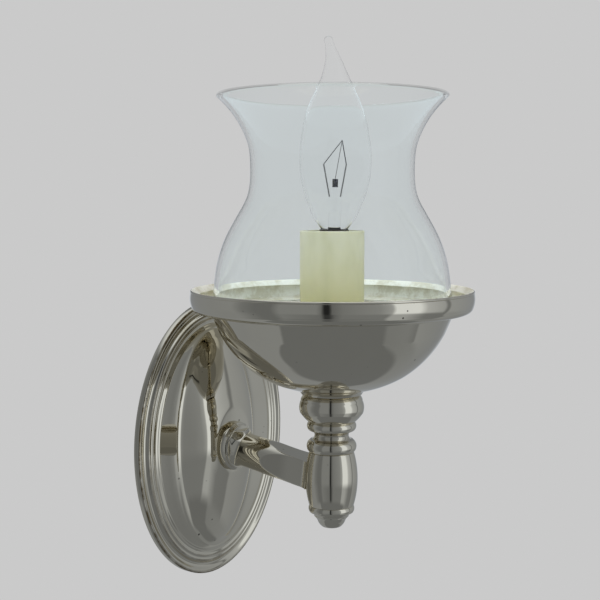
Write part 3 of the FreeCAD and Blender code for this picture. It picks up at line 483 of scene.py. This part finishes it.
def candle_resin():
    material, n, shader = new_material("candle_resin")
    place = n.place()
    parts = n.add("ShaderNodeSeparateXYZ")
    n.set(parts.inputs[0], place)
    height = parts.outputs["Z"]
    # The resin is darker and yellower towards the bottom.
    rise = n.step(height, *RESIN_CHANGES)
    base = n.mix(rise, FOOT_COLOUR, TOP_COLOUR)
    cloud = n.noise(place, 75.0, 5.0, 0.6)
    wide = n.noise(n.vector("MULTIPLY", place, (1, 1, 0.45)), 60.0, 3.0, 0.5)
    base = n.mix(n.step(wide, 0.35, 0.70), base, PATCH_COLOUR)
    vein = n.math("ABSOLUTE", n.math("SUBTRACT", wide, 0.52))
    vein = n.step(vein, 0.022, 0.002)
    veined = n.math("MULTIPLY", n.math("MULTIPLY", vein, n.step(height, *RESIN_VEINS)), 0.75)
    base = n.mix(veined, base, VEIN_COLOUR)
    # Mottled darkening near the foot.
    darker_foot = n.math("MULTIPLY", n.step(height, *RESIN_FOOT), n.step(cloud, 0.35, 0.65))
    base = n.mix(darker_foot, base, FOOT_DARKENING_COLOUR)
    n.set(shader.inputs["Base Color"], base)
    shader.inputs["Roughness"].default_value = 0.42
    shader.inputs["Subsurface Weight"].default_value = 0.2
    shader.inputs["Subsurface Radius"].default_value = (1.0, 0.9, 0.5)
    shader.inputs["Subsurface Scale"].default_value = 0.003
    n.set(shader.inputs["Normal"], n.bump(cloud, 0.3, 0.0002))
    return material


FINISHES = {
    "polished_nickel": nickel,
    "zinc_steel": lambda: plain_metal("zinc_steel", (0.62, 0.63, 0.62), 0.25),
    "green_screw": lambda: plain_metal("green_screw", (0.10, 0.42, 0.2), 0.3),
    "brass": lambda: plain_metal("brass", (0.75, 0.58, 0.28), 0.22),
    "shade_glass": lambda: clear_glass("shade_glass", (0.960, 0.993, 1.0), 0.12, 40.0, 1.30,
                                       (0.82, 0.99, 0.90)),
    "lamp_glass": lambda: clear_glass("lamp_glass", (0.995, 0.999, 1.0), 0.05, 60.0, 1.26),
    "candle_resin": candle_resin,
    "phenolic": lambda: plain_paint("phenolic", (0.03, 0.03, 0.03), 0.35),
    "fibre_card": lambda: plain_paint("fibre_card", (0.5, 0.42, 0.27), 0.8),
    "black_insulation": lambda: plain_paint("black_insulation", (0.02, 0.02, 0.02), 0.4),
    "white_insulation": lambda: plain_paint("white_insulation", (0.7, 0.7, 0.68), 0.45),
    "dark_bead": lambda: plain_paint("dark_bead", (0.02, 0.02, 0.03), 0.2),
    "support_wire": lambda: plain_metal("support_wire", (0.30, 0.30, 0.30), 0.3),
    "tungsten": lambda: plain_metal("tungsten", (0.18, 0.18, 0.20), 0.35),
    "cap_metal": lambda: plain_metal("cap_metal", (0.10, 0.09, 0.07), 0.3),
    "cap_glass": lambda: plain_paint("cap_glass", (0.02, 0.02, 0.02), 0.15),
    "solder": lambda: plain_metal("solder", (0.6, 0.6, 0.6), 0.35),
}


def finish_nodes():
    """Gives each CAD node the finish of its slot, and returns the finishes by slot."""
    made = {slot: make() for slot, make in FINISHES.items()}
    for part in frame["record"]["subparts"]:
        node, finish = frame["nodes"][part["node"]], made[part["material_slot"]]
        if not node.material_slots:
            node.data.materials.append(finish)
        for slot in node.material_slots:
            slot.material = finish
    return made


# Outlines and meshes. An outline's points are a radius and a height in millimetres.

def arc_points(start, middle, end, count):
    """The points after the start on the arc through the middle to the end."""
    (ax, ay), (bx, by), (cx, cy) = start, middle, end
    d = 2 * (ax * (by - cy) + bx * (cy - ay) + cx * (ay - by))
    if abs(d) < 1e-9:
        return [end]
    a2, b2, c2 = ax * ax + ay * ay, bx * bx + by * by, cx * cx + cy * cy
    ux = (a2 * (by - cy) + b2 * (cy - ay) + c2 * (ay - by)) / d
    uy = (a2 * (cx - bx) + b2 * (ax - cx) + c2 * (bx - ax)) / d
    first = math.atan2(ay - uy, ax - ux)
    to_middle = (math.atan2(by - uy, bx - ux) - first) % math.tau
    sweep = (math.atan2(cy - uy, cx - ux) - first) % math.tau
    if to_middle > sweep:
        sweep -= math.tau
    radius = math.hypot(ax - ux, ay - uy)
    return [(ux + radius * math.cos(first + sweep * k / count),
             uy + radius * math.sin(first + sweep * k / count)) for k in range(1, count + 1)]


def outline(start, steps, count=14):
    """Points along steps: two values are a line, four an arc through the first two."""
    points = [start]
    for step in steps:
        if len(step) == 4:
            points += arc_points(points[-1], step[:2], step[2:], count)
        else:
            points.append(step)
    return points


def scaled(start, steps, radius, height, bottom):
    """An outline given as shares of a piece's radius and height."""
    return [(r * radius, bottom + z * height) for r, z in outline(start, steps)]


def eased(points, radius, count=4):
    """A closed outline with its corners rounded off."""
    found = []
    for k, here in enumerate(points):
        corner = Vector(here)
        before = Vector(points[k - 1]) - corner
        after = Vector(points[(k + 1) % len(points)]) - corner
        if corner.x < 1e-6 or before.length < 1e-6 or after.length < 1e-6:
            found.append(here)
            continue
        turn = math.pi - before.angle(after)
        if turn < math.radians(15):
            found.append(here)
            continue
        cut = min(radius * math.tan(turn / 2), 0.45 * before.length, 0.45 * after.length)
        first = corner + before.normalized() * cut
        last = corner + after.normalized() * cut
        for step in range(count + 1):
            t = step / count
            place = (1 - t) ** 2 * first + 2 * t * (1 - t) * corner + t * t * last
            found.append((place.x, place.y))
    return found


def open_eased(points, radius):
    """An open outline with its corners rounded off."""
    middle = [p for p in eased(points, radius) if p not in (points[0], points[-1])]
    return [points[0]] + middle[1:-1] + [points[-1]]


def smooth_side(points):
    """An outline whose kinks between arcs are evened out, with its ends kept."""
    for _ in range(3):
        points = [points[0]] + [
            tuple((a + 2 * b + c) / 4 for a, b, c in zip(points[k - 1], points[k], points[k + 1]))
            for k in range(1, len(points) - 1)
        ] + [points[-1]]
    return points


def set_in(points, wall):
    """The open outline moved to the left of its direction by the wall."""
    moved = []
    for k, here in enumerate(points):
        before = Vector(here) - Vector(points[max(k - 1, 0)])
        after = Vector(points[min(k + 1, len(points) - 1)]) - Vector(here)
        before = before if before.length > 1e-9 else after
        after = after if after.length > 1e-9 else before
        before, after = before.normalized(), after.normalized()
        side = Vector((-before.y - after.y, before.x + after.x))
        moved.append(tuple(Vector(here) + side * (2 * wall / side.length_squared)))
    return moved


def spun_wall(points, wall):
    """A closed outline of a shell: outside, round top edge and inside, and where it is inside."""
    inner = set_in(points, wall)
    along = (Vector(points[-1]) - Vector(points[-2])).normalized()
    middle = (Vector(points[-1]) + Vector(inner[-1])) / 2
    across = (Vector(points[-1]) - Vector(inner[-1])) / 2
    crown = []
    for k in range(1, 12):
        turn = math.pi * k / 12
        crown.append(tuple(middle + across * math.cos(turn) + along * (wall / 2 * math.sin(turn))))
    closed = points + crown + inner[::-1]
    inside = [0.0] * len(points) + [0.0] * 8 + [1.0] * (len(closed) - len(points) - 8)
    return closed, inside


def smooth_rows(rows, count):
    """Rows of numbers with a smooth curve's rows put in between."""
    found = []
    for k in range(len(rows) - 1):
        before, here = rows[max(k - 1, 0)], rows[k]
        there, after = rows[k + 1], rows[min(k + 2, len(rows) - 1)]
        for step in range(count):
            t = step / count
            found.append(tuple(
                0.5 * (2 * b + (c - a) * t + (2 * a - 5 * b + 4 * c - d) * t * t
                       + (3 * b - a - 3 * c + d) * t ** 3)
                for a, b, c, d in zip(before, here, there, after)
            ))
    found.append(rows[-1])
    return found


def rings_mesh(rows, sides, place):
    """Points and faces of a surface of closed rings that comes back to its first ring."""
    points, rings, faces = [], [], []
    for row in rows:
        first = len(points)
        around = 1 if row[0] < 1e-6 else sides
        points += [place(row, math.tau * k / sides) for k in range(around)]
        rings.append(range(first, first + around))
    for low, high in zip(rings, rings[1:] + rings[:1]):
        if len(low) == len(high) == 1:
            continue
        for k in range(sides):
            j = (k + 1) % sides
            corners = (low[k % len(low)], low[j % len(low)],
                       high[j % len(high)], high[k % len(high)])
            faces.append(tuple(dict.fromkeys(corners)))
    return points, faces


def on_column(row, turn):
    """The point of a row's radius and height, turned about the column."""
    return Vector((row[0] * math.sin(turn), COLUMN_Y - row[0] * math.cos(turn), row[1]))


def new_piece(name, points, faces, body, nodes, slot_name, marks=None):
    """One shown piece that rides on a body and stands for CAD nodes."""
    mesh = bpy.data.meshes.new(name)
    mesh.from_pydata([point * MM for point in points], [], faces)
    for mark, values in (marks or {}).items():
        mesh.attributes.new(mark, "FLOAT", "POINT").data.foreach_set("value", values)
    shape = bmesh.new()
    shape.from_mesh(mesh)
    bmesh.ops.remove_doubles(shape, verts=shape.verts, dist=1e-7)
    bmesh.ops.recalc_face_normals(shape, faces=shape.faces)
    shape.to_mesh(mesh)
    shape.free()
    mesh.polygons.foreach_set("use_smooth", [True] * len(mesh.polygons))
    mesh.set_sharp_from_angle(angle=CREASE)
    mesh.materials.append(materials[slot_name])
    piece = placed(name, mesh)
    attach(piece, body)
    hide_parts(*nodes)
    return piece


def grooves(points, reach=1.0):
    """How far each point of a closed outline lies in a hollow, from 0 to 1."""
    found = []
    count = len(points)
    for k, here in enumerate(points):
        low, high = k, k
        while math.dist(points[low % count], here) < reach and k - low < count // 3:
            low -= 1
        while math.dist(points[high % count], here) < reach and high - k < count // 3:
            high += 1
        before = Vector(here) - Vector(points[low % count])
        after = Vector(points[high % count]) - Vector(here)
        turn = before.x * after.y - before.y * after.x
        size = before.length * after.length
        bend = -turn / size if size > 1e-9 else 0.0
        found.append(min(1.0, max(0.0, (bend - 0.45) / 0.5)))
    return found


def turned_piece(name, points, nodes, slot_name="polished_nickel", body="fixture", inside=None,
                 lip=None, sides=SIDES["column"]):
    """A piece turned about the column from a closed outline that runs round it leftwards."""
    verts, faces = rings_mesh(points, sides, on_column)

    def on_points(values):
        counts = [1 if row[0] < 1e-6 else sides for row in points]
        return [value for value, count in zip(values, counts) for _ in range(count)]

    # The groove mark darkens the hollows with grime and painted shade.
    marks = {"groove": on_points([0.0] * len(points) if inside else grooves(points))}
    if inside:
        marks["inside"] = on_points(inside)
    if lip:
        marks["lip"] = on_points([1.0 if row[1] > lip else 0.0 for row in points])
    return new_piece(name, verts, faces, body, nodes, slot_name, marks)


# Turned column. Radii and heights of the barrel, the knob under it, the collar and the seat ring.
HUB_END, HUB_MIDDLE, HUB_EDGE = 10.05, 11.8, 0.35
TURNED_EDGE = 0.3
FINIAL_SIZE = (10.35, 10.0)
FINIAL_STEM_RADIUS, FINIAL_STEM_LENGTH = 4.9, 5.0
COLLAR_SIZE = (11.1, 13.6)
RING_SIZE = (14.55, 12.6)
FINIAL_STEPS = [(0.345, 0.0), (0.42, 0.02), (0.53, 0.14, 0.61, 0.3), (0.70, 0.44, 0.755, 0.5),
                (0.80, 0.62, 0.955, 0.7), (1.0, 0.85, 0.96, 1.0)]
COLLAR_STEPS = [(0.9, 0.0), (1.01, 0.22, 0.865, 0.4), (0.6937, 0.56, 0.82, 0.7),
                (1.0, 0.88, 0.93, 1.0)]
RING_STEPS = [(0.72, 0.0), (0.855, 0.15, 0.975, 0.33), (1.0, 0.55, 0.955, 0.76),
              (0.915, 0.90, 0.80, 1.0)]


def make_column():
    middle = (HUB_BOTTOM + HUB_TOP) / 2
    barrel = outline((HUB_END, HUB_BOTTOM), [(HUB_MIDDLE, middle, HUB_END, HUB_TOP)], 28)
    barrel = [(PIPE_HOLE, HUB_BOTTOM)] + barrel + [(PIPE_HOLE, HUB_TOP)]
    turned_piece("hub_turned", eased(barrel, HUB_EDGE), ["hub"])
    radius, height = FINIAL_SIZE
    knob = scaled((0.0, 0.0), FINIAL_STEPS, radius, height, HUB_BOTTOM - height)
    stem_top = HUB_BOTTOM + FINIAL_STEM_LENGTH
    knob += [(FINIAL_STEM_RADIUS, HUB_BOTTOM), (FINIAL_STEM_RADIUS, stem_top), (0.0, stem_top)]
    turned_piece("finial_turned", eased(knob, TURNED_EDGE), ["bottom_finial"])
    for name, node, size, steps, bottom in (
        ("collar_turned", "neck_collar", COLLAR_SIZE, COLLAR_STEPS, HUB_TOP),
        ("seat_ring_turned", "bowl_seat_ring", RING_SIZE, RING_STEPS, RING_BOTTOM),
    ):
        radius, height = size
        side = scaled((PIPE_HOLE / radius, 0.0), steps, radius, height, bottom)
        side.append((PIPE_HOLE, bottom + height))
        turned_piece(name, eased(side, TURNED_EDGE), [node])


# Spun bowl: foot, belly, ledge and rim band.
BOWL_STEPS = [(13.6, 0.0), (14.484, 1.177, 15.664, 2.184), (25.418, 5.09, 33.428, 9.206),
              (42.987, 17.617, 50.089, 28.23), (53.4, 36.1), (59.501, 37.098),
              (61.147, 37.847, 62.096, 39.498), (62.68, 42.302, 62.38, 45.7)]
BOWL_WALL, BOWL_EDGE = 1.2, 0.55


def make_bowl():
    points = open_eased(outline((PIPE_HOLE, 0.0), BOWL_STEPS, 26), BOWL_EDGE)
    closed, inside = spun_wall(points, BOWL_WALL)
    closed = [(r, z + BOWL_BOTTOM) for r, z in closed]
    turned_piece("bowl_spun", closed, ["bowl"], inside=inside, sides=SIDES["bowl"])


# Glass shade: foot, belly, shoulder, waist and flared lip.
SHADE_STEPS = [(52.321, 9.281, 51.282, 17.52), (48.889, 27.179, 44.63, 36.744), (40.406, 44.13),
               (37.607, 49.528, 36.322, 54.358), (35.9, 63.165, 36.566, 71.688),
               (41.45, 82.862, 50.182, 93.09)]
SHADE_FOOT_RADIUS, SHADE_WALL, SHADE_LIP = 53.5, 1.8, 1.1


def make_shade():
    points = smooth_side(outline((SHADE_FOOT_RADIUS, 0.0), SHADE_STEPS))
    closed = [(r, z + SHADE_BOTTOM) for r, z in spun_wall(points, SHADE_WALL)[0]]
    turned_piece("shade_blown", closed, ["glass_shade"], "shade_glass", "shade",
                 lip=max(z for r, z in closed) - SHADE_LIP, sides=SIDES["shade"])


# Candle sleeve, with edges that are a little uneven.
SLEEVE_RADIUS, SLEEVE_BORE, SLEEVE_EDGE = 14.3, 10.75, 0.5
SLEEVE_ROWS = 60
SLEEVE_DENT, DENTS_PER_MM = 0.16, 0.22
EDGE_DENT, EDGE_DENTS_PER_MM, EDGE_REACH = 2.0, 0.9, 1.2


def make_sleeve():
    low, high = SLEEVE_LOW, SLEEVE_HIGH
    side = [(SLEEVE_RADIUS, low + (high - low) * k / SLEEVE_ROWS) for k in range(SLEEVE_ROWS + 1)]
    points = eased([(SLEEVE_BORE, low)] + side + [(SLEEVE_BORE, high)], SLEEVE_EDGE, 5)

    def place(row, turn):
        point = on_column(row, turn)
        near_edge = math.exp(-min(high - row[1], row[1] - low) / EDGE_REACH)
        dent = 0.5 + 0.5 * noise.noise(point * DENTS_PER_MM)
        dent += near_edge * max(0.0, noise.noise(point * EDGE_DENTS_PER_MM)) * EDGE_DENT
        outside = row[0] > (SLEEVE_RADIUS + SLEEVE_BORE) / 2
        size = 1 - SLEEVE_DENT * dent / SLEEVE_RADIUS if outside else 1
        return Vector((point.x * size, COLUMN_Y + (point.y - COLUMN_Y) * size, point.z))

    verts, faces = rings_mesh(points, SIDES["sleeve"], place)
    new_piece("sleeve_cast", verts, faces, "sleeve", ["candle_sleeve"], "candle_resin")


# Lamp glass. Its rows are shares of the lamp's radius, its height and the tip's shift. The lamp
# leans about a place at LEAN_HEIGHT on the column.
LAMP_HEIGHT, LAMP_RADIUS, TIP_SHIFT, TIP_RADIUS = 84.0, 15.8, 4.9, 2.0
TIP_ROWS = 10
LAMP_WALL = 0.7
LEAN = math.radians(1.1)
LEAN_HEIGHT = 44.0
CAP_SHOWS = 0.5
CAP_TOP = SLEEVE_HIGH + CAP_SHOWS
NECK_RADIUS, NECK_LENGTH = 5.2, 4.2
LAMP_ROWS = [
    (0.37, 0.0, 0.0), (0.415, 0.012, 0.0), (0.565, 0.05, 0.0), (0.70, 0.103, 0.0),
    (0.867, 0.187, 0.0), (0.975, 0.285, 0.0), (1.0, 0.383, 0.02), (0.947, 0.481, 0.07),
    (0.85, 0.581, 0.12), (0.648, 0.689, 0.15), (0.41, 0.777, 0.18), (0.232, 0.873, 0.41),
    (0.14, 0.942, 0.78), (0.1265, 0.972, 0.97),
]
# Where the hollow leaves the glass's outline, and its rows from there, with radii in millimetres.
HOLLOW_PARTS = 0.88
HOLLOW_END_ROWS = [(1.1, 0.945, 0.79), (0.5, 0.962, 0.92), (0.0, 0.968, 0.96)]


def leaned(point):
    """A point of the socket or the lamp, leaning with it away from the wall."""
    y, z = point.y - COLUMN_Y, point.z - LEAN_HEIGHT
    return Vector((point.x, COLUMN_Y + y * math.cos(LEAN) - z * math.sin(LEAN),
                   LEAN_HEIGHT + y * math.sin(LEAN) + z * math.cos(LEAN)))


def make_lamp_glass():
    outer = [(r * LAMP_RADIUS, z * LAMP_HEIGHT, s * TIP_SHIFT)
             for r, z, s in smooth_rows(LAMP_ROWS, 7)]
    neck = [(NECK_RADIUS, -NECK_LENGTH, 0.0), (NECK_RADIUS, -0.5, 0.0)]
    tip = []
    for k in range(TIP_ROWS):
        turn = math.radians(90 * (k + 0.6) / TIP_ROWS - 4)
        tip.append((TIP_RADIUS * math.cos(turn),
                    LAMP_HEIGHT - TIP_RADIUS + TIP_RADIUS * math.sin(turn), TIP_SHIFT))
    tip.append((0.0, LAMP_HEIGHT, TIP_SHIFT))
    hollow = [row for row in outer if row[1] < HOLLOW_PARTS * LAMP_HEIGHT]
    inner = [(r - LAMP_WALL, z, s) for r, z, s in hollow]
    inner += [(r, z * LAMP_HEIGHT, s * TIP_SHIFT) for r, z, s in HOLLOW_END_ROWS]
    throat = [(NECK_RADIUS - LAMP_WALL, z, s) for r, z, s in neck]
    rows = neck + outer + tip + inner[::-1] + throat[::-1]

    def place(row, turn):
        point = on_column(row, turn)
        return leaned(Vector((point.x, point.y + row[2], point.z + CAP_TOP)))

    verts, faces = rings_mesh(rows, SIDES["lamp"], place)
    new_piece("lamp_glass_blown", verts, faces, "bulb", ["bulb_envelope"], "lamp_glass")


# Filament: a coiled wire from one support over the top of the middle one to the other. Places
# across the lamp and above its cap.
FILAMENT_TURN = math.radians(-53.9)
SUPPORT_LEFT, SUPPORT_RIGHT, SUPPORT_RISE = -5.2, 4.7, 28.6
APEX_SHIFT, APEX_RISE = 2.7, 39.2
COIL_TURNS, COIL_RADIUS, COIL_WIRE = 70.0, 0.21, 0.05


def in_lamp(across, rise):
    """A place in the lamp's inner frame, at a height above the cap."""
    return leaned(Vector((across * math.cos(FILAMENT_TURN),
                          COLUMN_Y + across * math.sin(FILAMENT_TURN), CAP_TOP + rise)))


def wound_wire_group():
    """Nodes that wind a fine wire along two straight legs that meet at the top."""
    tree = bpy.data.node_groups.new("wound_wire", "GeometryNodeTree")
    face = tree.interface
    for name in ("Left end", "Top", "Right end"):
        face.new_socket(name, in_out="INPUT", socket_type="NodeSocketVector")
    for name in ("Turns", "Coil radius", "Wire radius"):
        face.new_socket(name, in_out="INPUT", socket_type="NodeSocketFloat")
    face.new_socket("Finish", in_out="INPUT", socket_type="NodeSocketMaterial")
    face.new_socket("Geometry", in_out="OUTPUT", socket_type="NodeSocketGeometry")
    n = Nodes(tree)
    inputs = n.add("NodeGroupInput").outputs
    legs = n.add("GeometryNodeJoinGeometry")
    for start in ("Left end", "Right end"):
        way = n.vector("SUBTRACT", inputs["Top"], inputs[start])
        spiral = n.add("GeometryNodeCurveSpiral")
        spiral.inputs["Resolution"].default_value = 12
        n.set(spiral.inputs["Rotations"], inputs["Turns"])
        n.set(spiral.inputs["Start Radius"], inputs["Coil radius"])
        n.set(spiral.inputs["End Radius"], inputs["Coil radius"])
        n.set(spiral.inputs["Height"], n.vector("LENGTH", way))
        aim = n.add("FunctionNodeAlignRotationToVector", axis="Z")
        n.set(aim.inputs["Vector"], way)
        move = n.add("GeometryNodeTransform")
        n.set(move.inputs["Geometry"], spiral.outputs[0])
        n.set(move.inputs["Translation"], inputs[start])
        n.set(move.inputs["Rotation"], aim.outputs[0])
        tree.links.new(move.outputs[0], legs.inputs[0])
    section = n.add("GeometryNodeCurvePrimitiveCircle")
    section.inputs["Resolution"].default_value = 5
    n.set(section.inputs["Radius"], inputs["Wire radius"])
    wire = n.add("GeometryNodeCurveToMesh")
    n.set(wire.inputs["Curve"], legs.outputs[0])
    n.set(wire.inputs["Profile Curve"], section.outputs[0])
    wire.inputs["Fill Caps"].default_value = True
    real = n.add("GeometryNodeRealizeInstances")
    n.set(real.inputs[0], wire.outputs[0])
    paint = n.add("GeometryNodeSetMaterial")
    n.set(paint.inputs["Geometry"], real.outputs[0])
    n.set(paint.inputs["Material"], inputs["Finish"])
    n.set(n.add("NodeGroupOutput").inputs["Geometry"], paint.outputs[0])
    return tree


def make_filament():
    group = wound_wire_group()
    maker = placed("filament_maker", bpy.data.meshes.new("filament_maker"))
    nodes = maker.modifiers.new("wound_wire", "NODES")
    nodes.node_group = group
    values = {
        "Left end": in_lamp(SUPPORT_LEFT, SUPPORT_RISE) * MM,
        "Top": in_lamp(APEX_SHIFT, APEX_RISE) * MM,
        "Right end": in_lamp(SUPPORT_RIGHT, SUPPORT_RISE) * MM,
        "Turns": COIL_TURNS,
        "Coil radius": COIL_RADIUS * MM,
        "Wire radius": COIL_WIRE * MM,
        "Finish": materials["tungsten"],
    }
    for item in group.interface.items_tree:
        if item.in_out == "INPUT":
            nodes[item.identifier] = values[item.name]
    seen = maker.evaluated_get(bpy.context.evaluated_depsgraph_get())
    mesh = bpy.data.meshes.new_from_object(seen)
    bpy.data.objects.remove(maker)
    mesh.name = "filament_coil"
    piece = placed("filament_coil", mesh)
    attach(piece, "bulb")
    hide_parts("bulb_filament")


# Oval plate. The dome's rows are half widths, half heights and depths. The border's rows are
# shares of its width and its depth. The rows of its back are insets and depths.
PLATE_HALF_WIDTH, PLATE_HALF_HEIGHT, PLATE_RISE, PLATE_DEPTH = 52.5, 66.5, 2.6, 14.5
BORDER_WIDTH, BORDER_DEPTH, PLATE_WALL = 12.6, 3.2, 1.2
BACK_INSET, BACK_LEAST_DEPTH = 0.4, 0.6
BACK_BORDER_ROWS = [(8.0, 1.2), (PLATE_WALL, 1.0), (PLATE_WALL, 0.0)]
BORDER_ROWS = [
    (0.0, 0.82), (0.028, 0.94), (0.087, 1.0), (0.143, 0.95), (0.19, 0.81), (0.25, 0.64),
    (0.33, 0.57), (0.41, 0.68), (0.46, 0.93), (0.50, 1.06), (0.55, 1.08), (0.595, 1.0),
    (0.63, 1.02), (0.68, 1.12), (0.73, 1.1), (0.80, 0.98), (0.88, 1.03), (0.95, 1.16),
]
DOME_ROWS = [
    (39.9, 53.9, 3.95), (36.0, 53.6, 4.0), (32.0, 53.3, 4.05), (29.4, 53.0, 4.15),
    (27.8, 52.2, 4.5), (26.4, 50.8, 5.2), (24.9, 48.4, 6.5), (23.0, 44.0, 8.25),
    (21.0, 38.0, 10.0), (19.0, 32.0, 11.45), (17.0, 26.0, 12.65), (15.0, 21.0, 13.55),
    (13.2, 17.6, 14.2), (12.2, 15.8, 14.45), (11.2, 14.0, 14.5),
]


def make_plate():
    border = [(PLATE_HALF_WIDTH, PLATE_HALF_HEIGHT, 0.0, PLATE_RISE)]
    for inset, depth in smooth_rows(BORDER_ROWS, 5):
        inset = max(0.0, inset) * BORDER_WIDTH
        border.append((PLATE_HALF_WIDTH - inset, PLATE_HALF_HEIGHT - inset,
                       depth * BORDER_DEPTH, PLATE_RISE))
    dome = [(*row, PLATE_RISE) for row in smooth_rows(DOME_ROWS, 5)]
    face = border + dome
    hole = [(PIPE_HOLE, PIPE_HOLE, PLATE_DEPTH - wall, 0.0) for wall in (0.0, PLATE_WALL)]
    back = [(w - BACK_INSET, h - BACK_INSET, max(BACK_LEAST_DEPTH, d - PLATE_WALL), c)
            for w, h, d, c in reversed(dome[2:])]
    back += [(PLATE_HALF_WIDTH - inset, PLATE_HALF_HEIGHT - inset, depth, PLATE_RISE)
             for inset, depth in BACK_BORDER_ROWS]
    rows = face + hole + back

    def place(row, turn):
        return Vector((row[0] * math.sin(turn), -row[2], row[3] + row[1] * math.cos(turn)))

    verts, faces = rings_mesh(rows, SIDES["plate"], place)
    side = [(-row[0], row[2]) for row in face]
    # The border's hollows, which get grime and painted shade.
    hollow = grooves(side, 0.8)[:len(border)] + [0.0] * (len(rows) - len(border))
    hollow[0] = hollow[1] = 0.0
    marks = {"groove": [value for value in hollow for _ in range(SIDES["plate"])]}
    new_piece("plate_moulded", verts, faces, "fixture", ["backplate"], "polished_nickel", marks)


# Arm. Distances along it from its seat on the plate, and half widths across it.
ARM_ANGLE = 0.13278
ARM_SEAT = PLATE_DEPTH
ARM_BORE = 4.0
ARM_START, ARM_END, ARM_ROWS = 3.0, 48.6, 110
ARM_ROUND = ((10.1, 3.0), [(10.1, 4.0), (8.737, 5.8, 7.9, 9.4), (8.088, 23.25, 8.839, 40.17),
                           (11.05, 45.6), (11.05, 60.0)])
ARM_SCOOP = ((8.839, 3.0), [(8.839, 20.62), (6.897, 28.77, 6.25, 36.92), (6.25, 60.0)])
ARM_SPREAD = ((8.839, 3.0), [(8.839, 20.62), (6.897, 28.77, 6.25, 36.92), (6.25, 44.587),
                             (6.774, 47.5, 8.53, 49.887), (8.53, 60.0)])
FLANGE_STEPS = [(10.53, 0.0), (11.7, 1.19), (11.349, 2.72), (10.53, 3.4), (10.5, 3.4), (10.5, 4.0),
                (10.1, 4.6)]
FLANGE_BORE, FLANGE_DEPTH = 4.9, 4.6
EDGE_BLEND, LEAST_SHARE = 0.35, 0.05


def radius_at(points, along):
    """The half width of an outline of half widths and distances, at one distance."""
    for (r0, z0), (r1, z1) in zip(points, points[1:]):
        if z0 <= along <= z1 and z1 > z0:
            return r0 + (r1 - r0) * (along - z0) / (z1 - z0)
    return points[-1][0]


def blended(first, second, width):
    """The smaller of two sizes, with the change between them rounded off."""
    near = max(width - abs(first - second), 0.0) / width
    return min(first, second) - near * near * width / 4


def make_arm():
    round_side = outline(*ARM_ROUND, 20)
    scoop = outline(*ARM_SCOOP, 20)
    spread = outline(*ARM_SPREAD, 20)
    tilt = math.pi / 2 + ARM_ANGLE

    def laid(x, y, along):
        return Vector((x, y * math.cos(tilt) - along * math.sin(tilt) - ARM_SEAT,
                       y * math.sin(tilt) + along * math.cos(tilt)))

    outside, bore = 1.0, 0.5
    rows = [(outside, ARM_START + (ARM_END - ARM_START) * k / ARM_ROWS)
            for k in range(ARM_ROWS + 1)]
    rows += [(bore, ARM_END), (bore, ARM_START)]

    def place(row, turn):
        across, up = math.sin(turn), math.cos(turn)
        if row[0] == bore:
            size = ARM_BORE
        else:
            size = radius_at(round_side, row[1])
            for half, share in ((radius_at(spread, row[1]), abs(across)),
                                (radius_at(scoop, row[1]), abs(up))):
                if share > LEAST_SHARE:
                    size = blended(size, half / share, EDGE_BLEND)
        return laid(size * across, size * up, row[1])

    verts, faces = rings_mesh(rows, SIDES["arm"], place)
    flange = [(FLANGE_BORE, 0.0)] + FLANGE_STEPS + [(FLANGE_BORE, FLANGE_DEPTH)]
    flange = eased(flange, TURNED_EDGE)
    more, more_faces = rings_mesh(flange, SIDES["arm"], lambda row, turn: Vector(
        (row[0] * math.sin(turn), -ARM_SEAT - row[1], row[0] * math.cos(turn))))
    faces += [tuple(k + len(verts) for k in face) for face in more_faces]
    new_piece("arm_cast", verts + more, faces, "fixture", ["arm"], "polished_nickel")


bpy.context.scene.view_settings.view_transform = "Standard"
add_camera()
add_world()
add_room()
add_floor()
add_lamps()
materials = finish_nodes()
make_column()
make_bowl()
make_shade()
make_sleeve()
make_lamp_glass()
make_filament()
make_plate()
make_arm()
